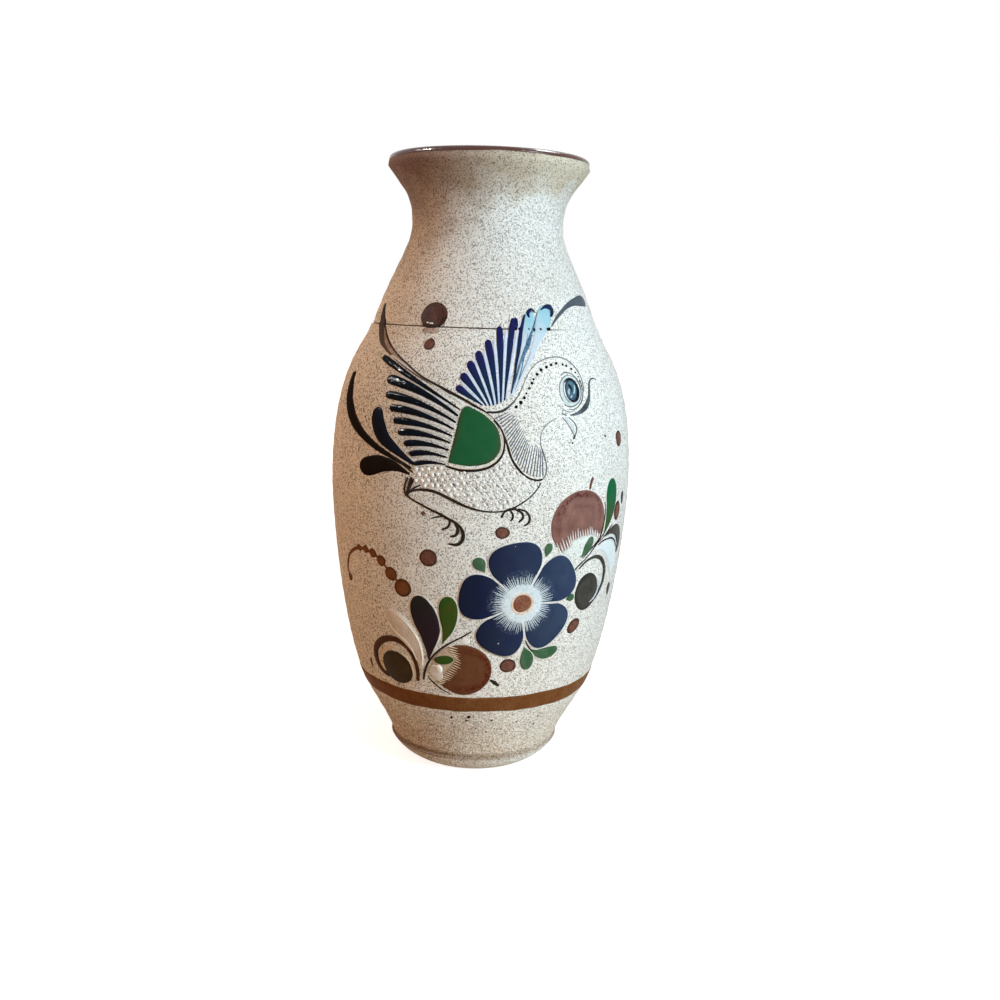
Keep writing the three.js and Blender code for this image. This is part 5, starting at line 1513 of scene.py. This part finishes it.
def make_fruits():
    fruit("lower_fruit_slip", [
        (8.2, 64.4), (-3, 64.2), (-13, 63.6), (-23.6, 61.8),
    ], (26.4, 0.6, 0.46, 0.75), LOWER_COMB, (3, 62), LOWER_FRUIT, "lower_fruit")
    fruit("upper_fruit_slip", [
        (48.4, 149.4), (47.7, 138), (47.4, 128), (47.8, 117),
    ], (32, 0.6, 0.48, 0.75), UPPER_COMB, (44, 146), UPPER_FRUIT, "upper_fruit")
    sheaf_of("lower_fruit_comb", comb_strokes(LOWER_COMB, LOWER_TIPS, 19, 0.62, 3), CREAM_LINE)
    sheaf_of("upper_fruit_comb", comb_strokes(UPPER_COMB, UPPER_TIPS, 19, 0.62, 4), WHITE)
    body = stroke([(51.8, 149.2), (52.2, 151.6), (53.6, 155)], [1.2, 1.4, 1.8], 0.3)
    lone("upper_fruit_stalk", body, SPOT)


# Brown spots and dark marks: [centre, half sizes, turn]. Iron specks: [distance round, height, radius].
SPOTS = [
    ((-29.8, 213), (3.0, 2.6), 0),
    ((-22, 118.5), (4.2, 4.0), 0),
    ((9.8, 131.8), (3.1, 2.8), 0),
    ((51.2, 83), (4.4, 3.3), 40),
    ((16.2, 66.7), (4.1, 3.6), 0),
    ((76, 170.7), (3.0, 3.8), 0),
    ((76, 136), (3.3, 4.8), 0),
    ((-65, 58), (1.0, 2.5), 0),
    ((-24.2, 139.1), (0.9, 0.9), 0),
    ((63, 173), (0.6, 0.6), 0),
]
DARK_MARKS = [((81.5, 141.5), (1.6, 3.2), 0), ((79.5, 96), (1.8, 3.3), 0)]
IRON_SPECKS = [
    (-13.7, 36.9, 0.9), (-3.2, 37.8, 1.1), (-4.8, 35.7, 0.7), (-13.7, 33.1, 0.6), (10.8, 35.7, 0.7),
    (8.3, 28.1, 0.6), (27.7, 33.6, 0.7), (42.9, 34.7, 0.8), (42.4, 29.9, 0.7), (30.4, 23.4, 0.6),
    (1, 30.4, 0.5), (18, 29.5, 0.5),
]


def make_spots():
    spots = [disc(centre, size, 0.28, 0, turn, seed=20 + i, uneven=0.05)
             for i, (centre, size, turn) in enumerate(SPOTS)]
    sheaf_of("brown_spots", spots, SPOT)
    marks = [disc(centre, size, 0.28, 0, turn, uneven=0.05) for centre, size, turn in DARK_MARKS]
    sheaf_of("dark_marks", marks, SLATE)
    body = disc((-31.3, 225.7), (8.8, 5.8), 0.35, rows=16, cols=60, uneven=0.02, seed=9, fullness=8)
    lone("seam_pool", body, DISC, ["seam_disc"])
    body = thin([
        (-37.6, 221.6), (-35, 220.9), (-31, 220.7), (-27, 221), (-24.6, 222),
    ], [0.8, 1.2, 1.1, 1.2, 0.7], 0.3, 0.3)
    lone("seam_pool_line", body, LINE)
    # Painted highlights on the seam pool, made as white slip.
    glints = [disc((-34.4, 222.2), (0.7, 0.35), 0.3, 0.4), disc((-31.8, 221.9), (1.3, 0.35), 0.3, 0.4)]
    sheaf_of("seam_pool_glints", glints, BEAD_WHITE_AND_GLINT)
    lone("seam_pool_drip", disc((-31.2, 218.9), (5.6, 1.4), 0.2, seed=12), FADED)
    specks = [disc((x, z), (r, 0.8 * r), 0.12, cols=16, rows=5, seed=40 + i, uneven=0.12)
              for i, (x, z, r) in enumerate(IRON_SPECKS)]
    sheaf_of("iron_specks", specks, LINE)


# Studio: camera, lights, room and floor.
CAMERA_DISTANCE, CAMERA_HEIGHT = 541.8, 233.9
CAMERA_PITCH, CAMERA_YAW, CAMERA_ROLL = 10.55, 1.074, 1.8
FOCAL_PIXELS, PICTURE_PIXELS, SENSOR = 1080, 1000, 36
FLOOR_WIDTH = 12000
LAMP_TARGET = (0, 0, 0.15)


def make_camera():
    """A camera like the photo's, as it was fitted to the outline of the vase."""
    pitch, yaw, roll = (math.radians(a) for a in (CAMERA_PITCH, CAMERA_YAW, CAMERA_ROLL))
    forward = Vector((math.sin(yaw) * math.cos(pitch), math.cos(yaw) * math.cos(pitch), -math.sin(pitch)))
    right = Vector((math.cos(yaw), -math.sin(yaw), 0))
    up = right.cross(forward)
    tilted_right = math.cos(roll) * right + math.sin(roll) * up
    tilted_up = -math.sin(roll) * right + math.cos(roll) * up
    camera = bpy.data.objects.new("camera", bpy.data.cameras.new("camera"))
    camera.data.sensor_width = SENSOR
    camera.data.lens = SENSOR * FOCAL_PIXELS / PICTURE_PIXELS
    camera.data.clip_start = 0.01
    axes = Matrix([tilted_right, tilted_up, -forward]).transposed().to_4x4()
    camera.matrix_world = Matrix.Translation(Vector((0, -CAMERA_DISTANCE, CAMERA_HEIGHT)) * MM) @ axes
    bpy.context.scene.collection.objects.link(camera)
    bpy.context.scene.camera = camera


def lamp(name, azimuth, elevation, distance, size, power, colour, diffuse=True, glossy=True):
    """A square soft light that faces the middle of the vase, by its bearing to the right of the front, with
    its distance and size in metres. Without diffuse it shows only as a glint in the glazes, and without
    glossy it shows in none."""
    data = bpy.data.lights.new(name, "AREA")
    data.shape = "SQUARE"
    data.size = size
    data.energy = power
    data.color = colour
    light = bpy.data.objects.new(name, data)
    a, e = math.radians(azimuth), math.radians(elevation)
    away = Vector((math.sin(a) * math.cos(e), -math.cos(a) * math.cos(e), math.sin(e)))
    light.location = Vector(LAMP_TARGET) + away * distance
    light.rotation_euler = away.to_track_quat("Z", "Y").to_euler()
    light.visible_diffuse = diffuse
    light.visible_glossy = glossy
    bpy.context.scene.collection.objects.link(light)


def seen_directly(tree):
    """1 for a ray from the camera, a reflection or a refraction, and 0 for a ray of soft light."""
    path = tree.nodes.new("ShaderNodeLightPath")
    total = path.outputs["Is Camera Ray"]
    for key in ("Is Glossy Ray", "Is Transmission Ray"):
        both = {0: total, 1: path.outputs[key]}
        total = grow(tree, "ShaderNodeMath", both, operation="ADD", use_clamp=True).outputs[0]
    return total


def make_room():
    """A world that is white to the eye and in reflections, and lights the vase softly, with a browner light
    from the left and below."""
    world = bpy.data.worlds.new("studio")
    bpy.context.scene.world = world
    world.use_nodes = True
    tree = world.node_tree
    white = grow(tree, "ShaderNodeBackground", {"Color": (1, 1, 1, 1)})
    way = grow(tree, "ShaderNodeTexCoord").outputs["Generated"]
    bearing = grow(tree, "ShaderNodeVectorMath", {0: way, 1: (-0.75, 0, -0.66)}, operation="DOT_PRODUCT")
    side = {"Value": bearing.outputs["Value"], "From Min": -0.3, "From Max": 0.8}
    share = grow(tree, "ShaderNodeMapRange", side).outputs["Result"]
    tints = {0: share, 6: (1.0, 0.66, 0.46, 1), 7: (0.85, 0.34, 0.08, 1)}
    soft = tree.nodes["Background"]
    feed(tree, soft.inputs["Color"], grow(tree, "ShaderNodeMix", tints, data_type="RGBA").outputs[2])
    feed(tree, soft.inputs["Strength"], 0.34)
    both = {0: seen_directly(tree), 1: soft.outputs[0], 2: white.outputs[0]}
    mix = grow(tree, "ShaderNodeMixShader", both)
    feed(tree, tree.nodes["World Output"].inputs["Surface"], mix.outputs[0])


def make_floor():
    """A floor that is white to the eye and casts the brown light of a table top up on the vase."""
    paper = Finish("studio_floor")
    seen = seen_directly(paper.tree)
    reach = paper.node("ShaderNodeVectorMath", {0: paper.place}, operation="LENGTH").outputs["Value"]
    side = paper.split(paper.place)["X"]
    near = paper.mix(paper.ramp(side, -0.06, 0.06), srgb(150, 110, 76), srgb(240, 226, 200))
    table = paper.mix(paper.ramp(reach, 0.08, 0.2), near, srgb(84, 60, 44))
    paper.set("Base Color", paper.mix(seen, table, (0.9, 0.9, 0.9, 1)))
    paper.set("Roughness", 0.9)
    paper.set("Specular IOR Level", 0.0)
    paper.set("Emission Color", (1, 1, 1, 1))
    paper.set("Emission Strength", paper.math("MULTIPLY", seen, paper.ramp(reach, 0.35, 0.9, 0.8, 1.0)))
    mesh = bpy.data.meshes.new("floor")
    half = FLOOR_WIDTH / 2 * MM
    square = [(-half, -half, 0), (half, -half, 0), (half, half, 0), (-half, half, 0)]
    mesh.from_pydata(square, [], [(0, 1, 2, 3)])
    mesh.materials.append(paper.material)
    floor = bpy.data.objects.new("floor", mesh)
    bpy.context.scene.collection.objects.link(floor)


def make_lamps():
    lamp("window_light", 46, 16, 0.72, 0.24, 5.4, (0.60, 0.84, 1.0))
    lamp("ceiling_light", -62, 78, 0.8, 0.3, 1.0, (1.0, 0.93, 0.82), glossy=False)
    lamp("room_light", -88, 6, 0.65, 0.3, 1.25, (1.0, 0.56, 0.26), glossy=False)
    lamp("table_bounce", 14, -18, 0.42, 0.16, 0.5, (1.0, 0.86, 0.66), glossy=False)
    lamp("glint_light", -80, 32, 1.2, 0.10, 60.0, (1.0, 0.97, 0.92), diffuse=False)
    lamp("rim_glint_light", 115, 60, 1.2, 0.26, 15.0, (0.9, 0.96, 1.0), diffuse=False)


make_camera()
make_body()
make_glazes()
make_band()
make_left_wing()
make_right_wing()
make_wing_edges()
make_patch()
make_tail()
make_breast()
make_eye()
make_beak()
make_legs()
make_belly_beads()
make_petals()
make_flower_middle()
make_rays()
make_leaves()
make_stems()
make_bright_lines()
make_left_scroll()
make_right_scroll()
make_tendril()
make_fruits()
make_spots()
make_room()
make_floor()
make_lamps()
bpy.context.scene.view_settings.view_transform = "Standard"
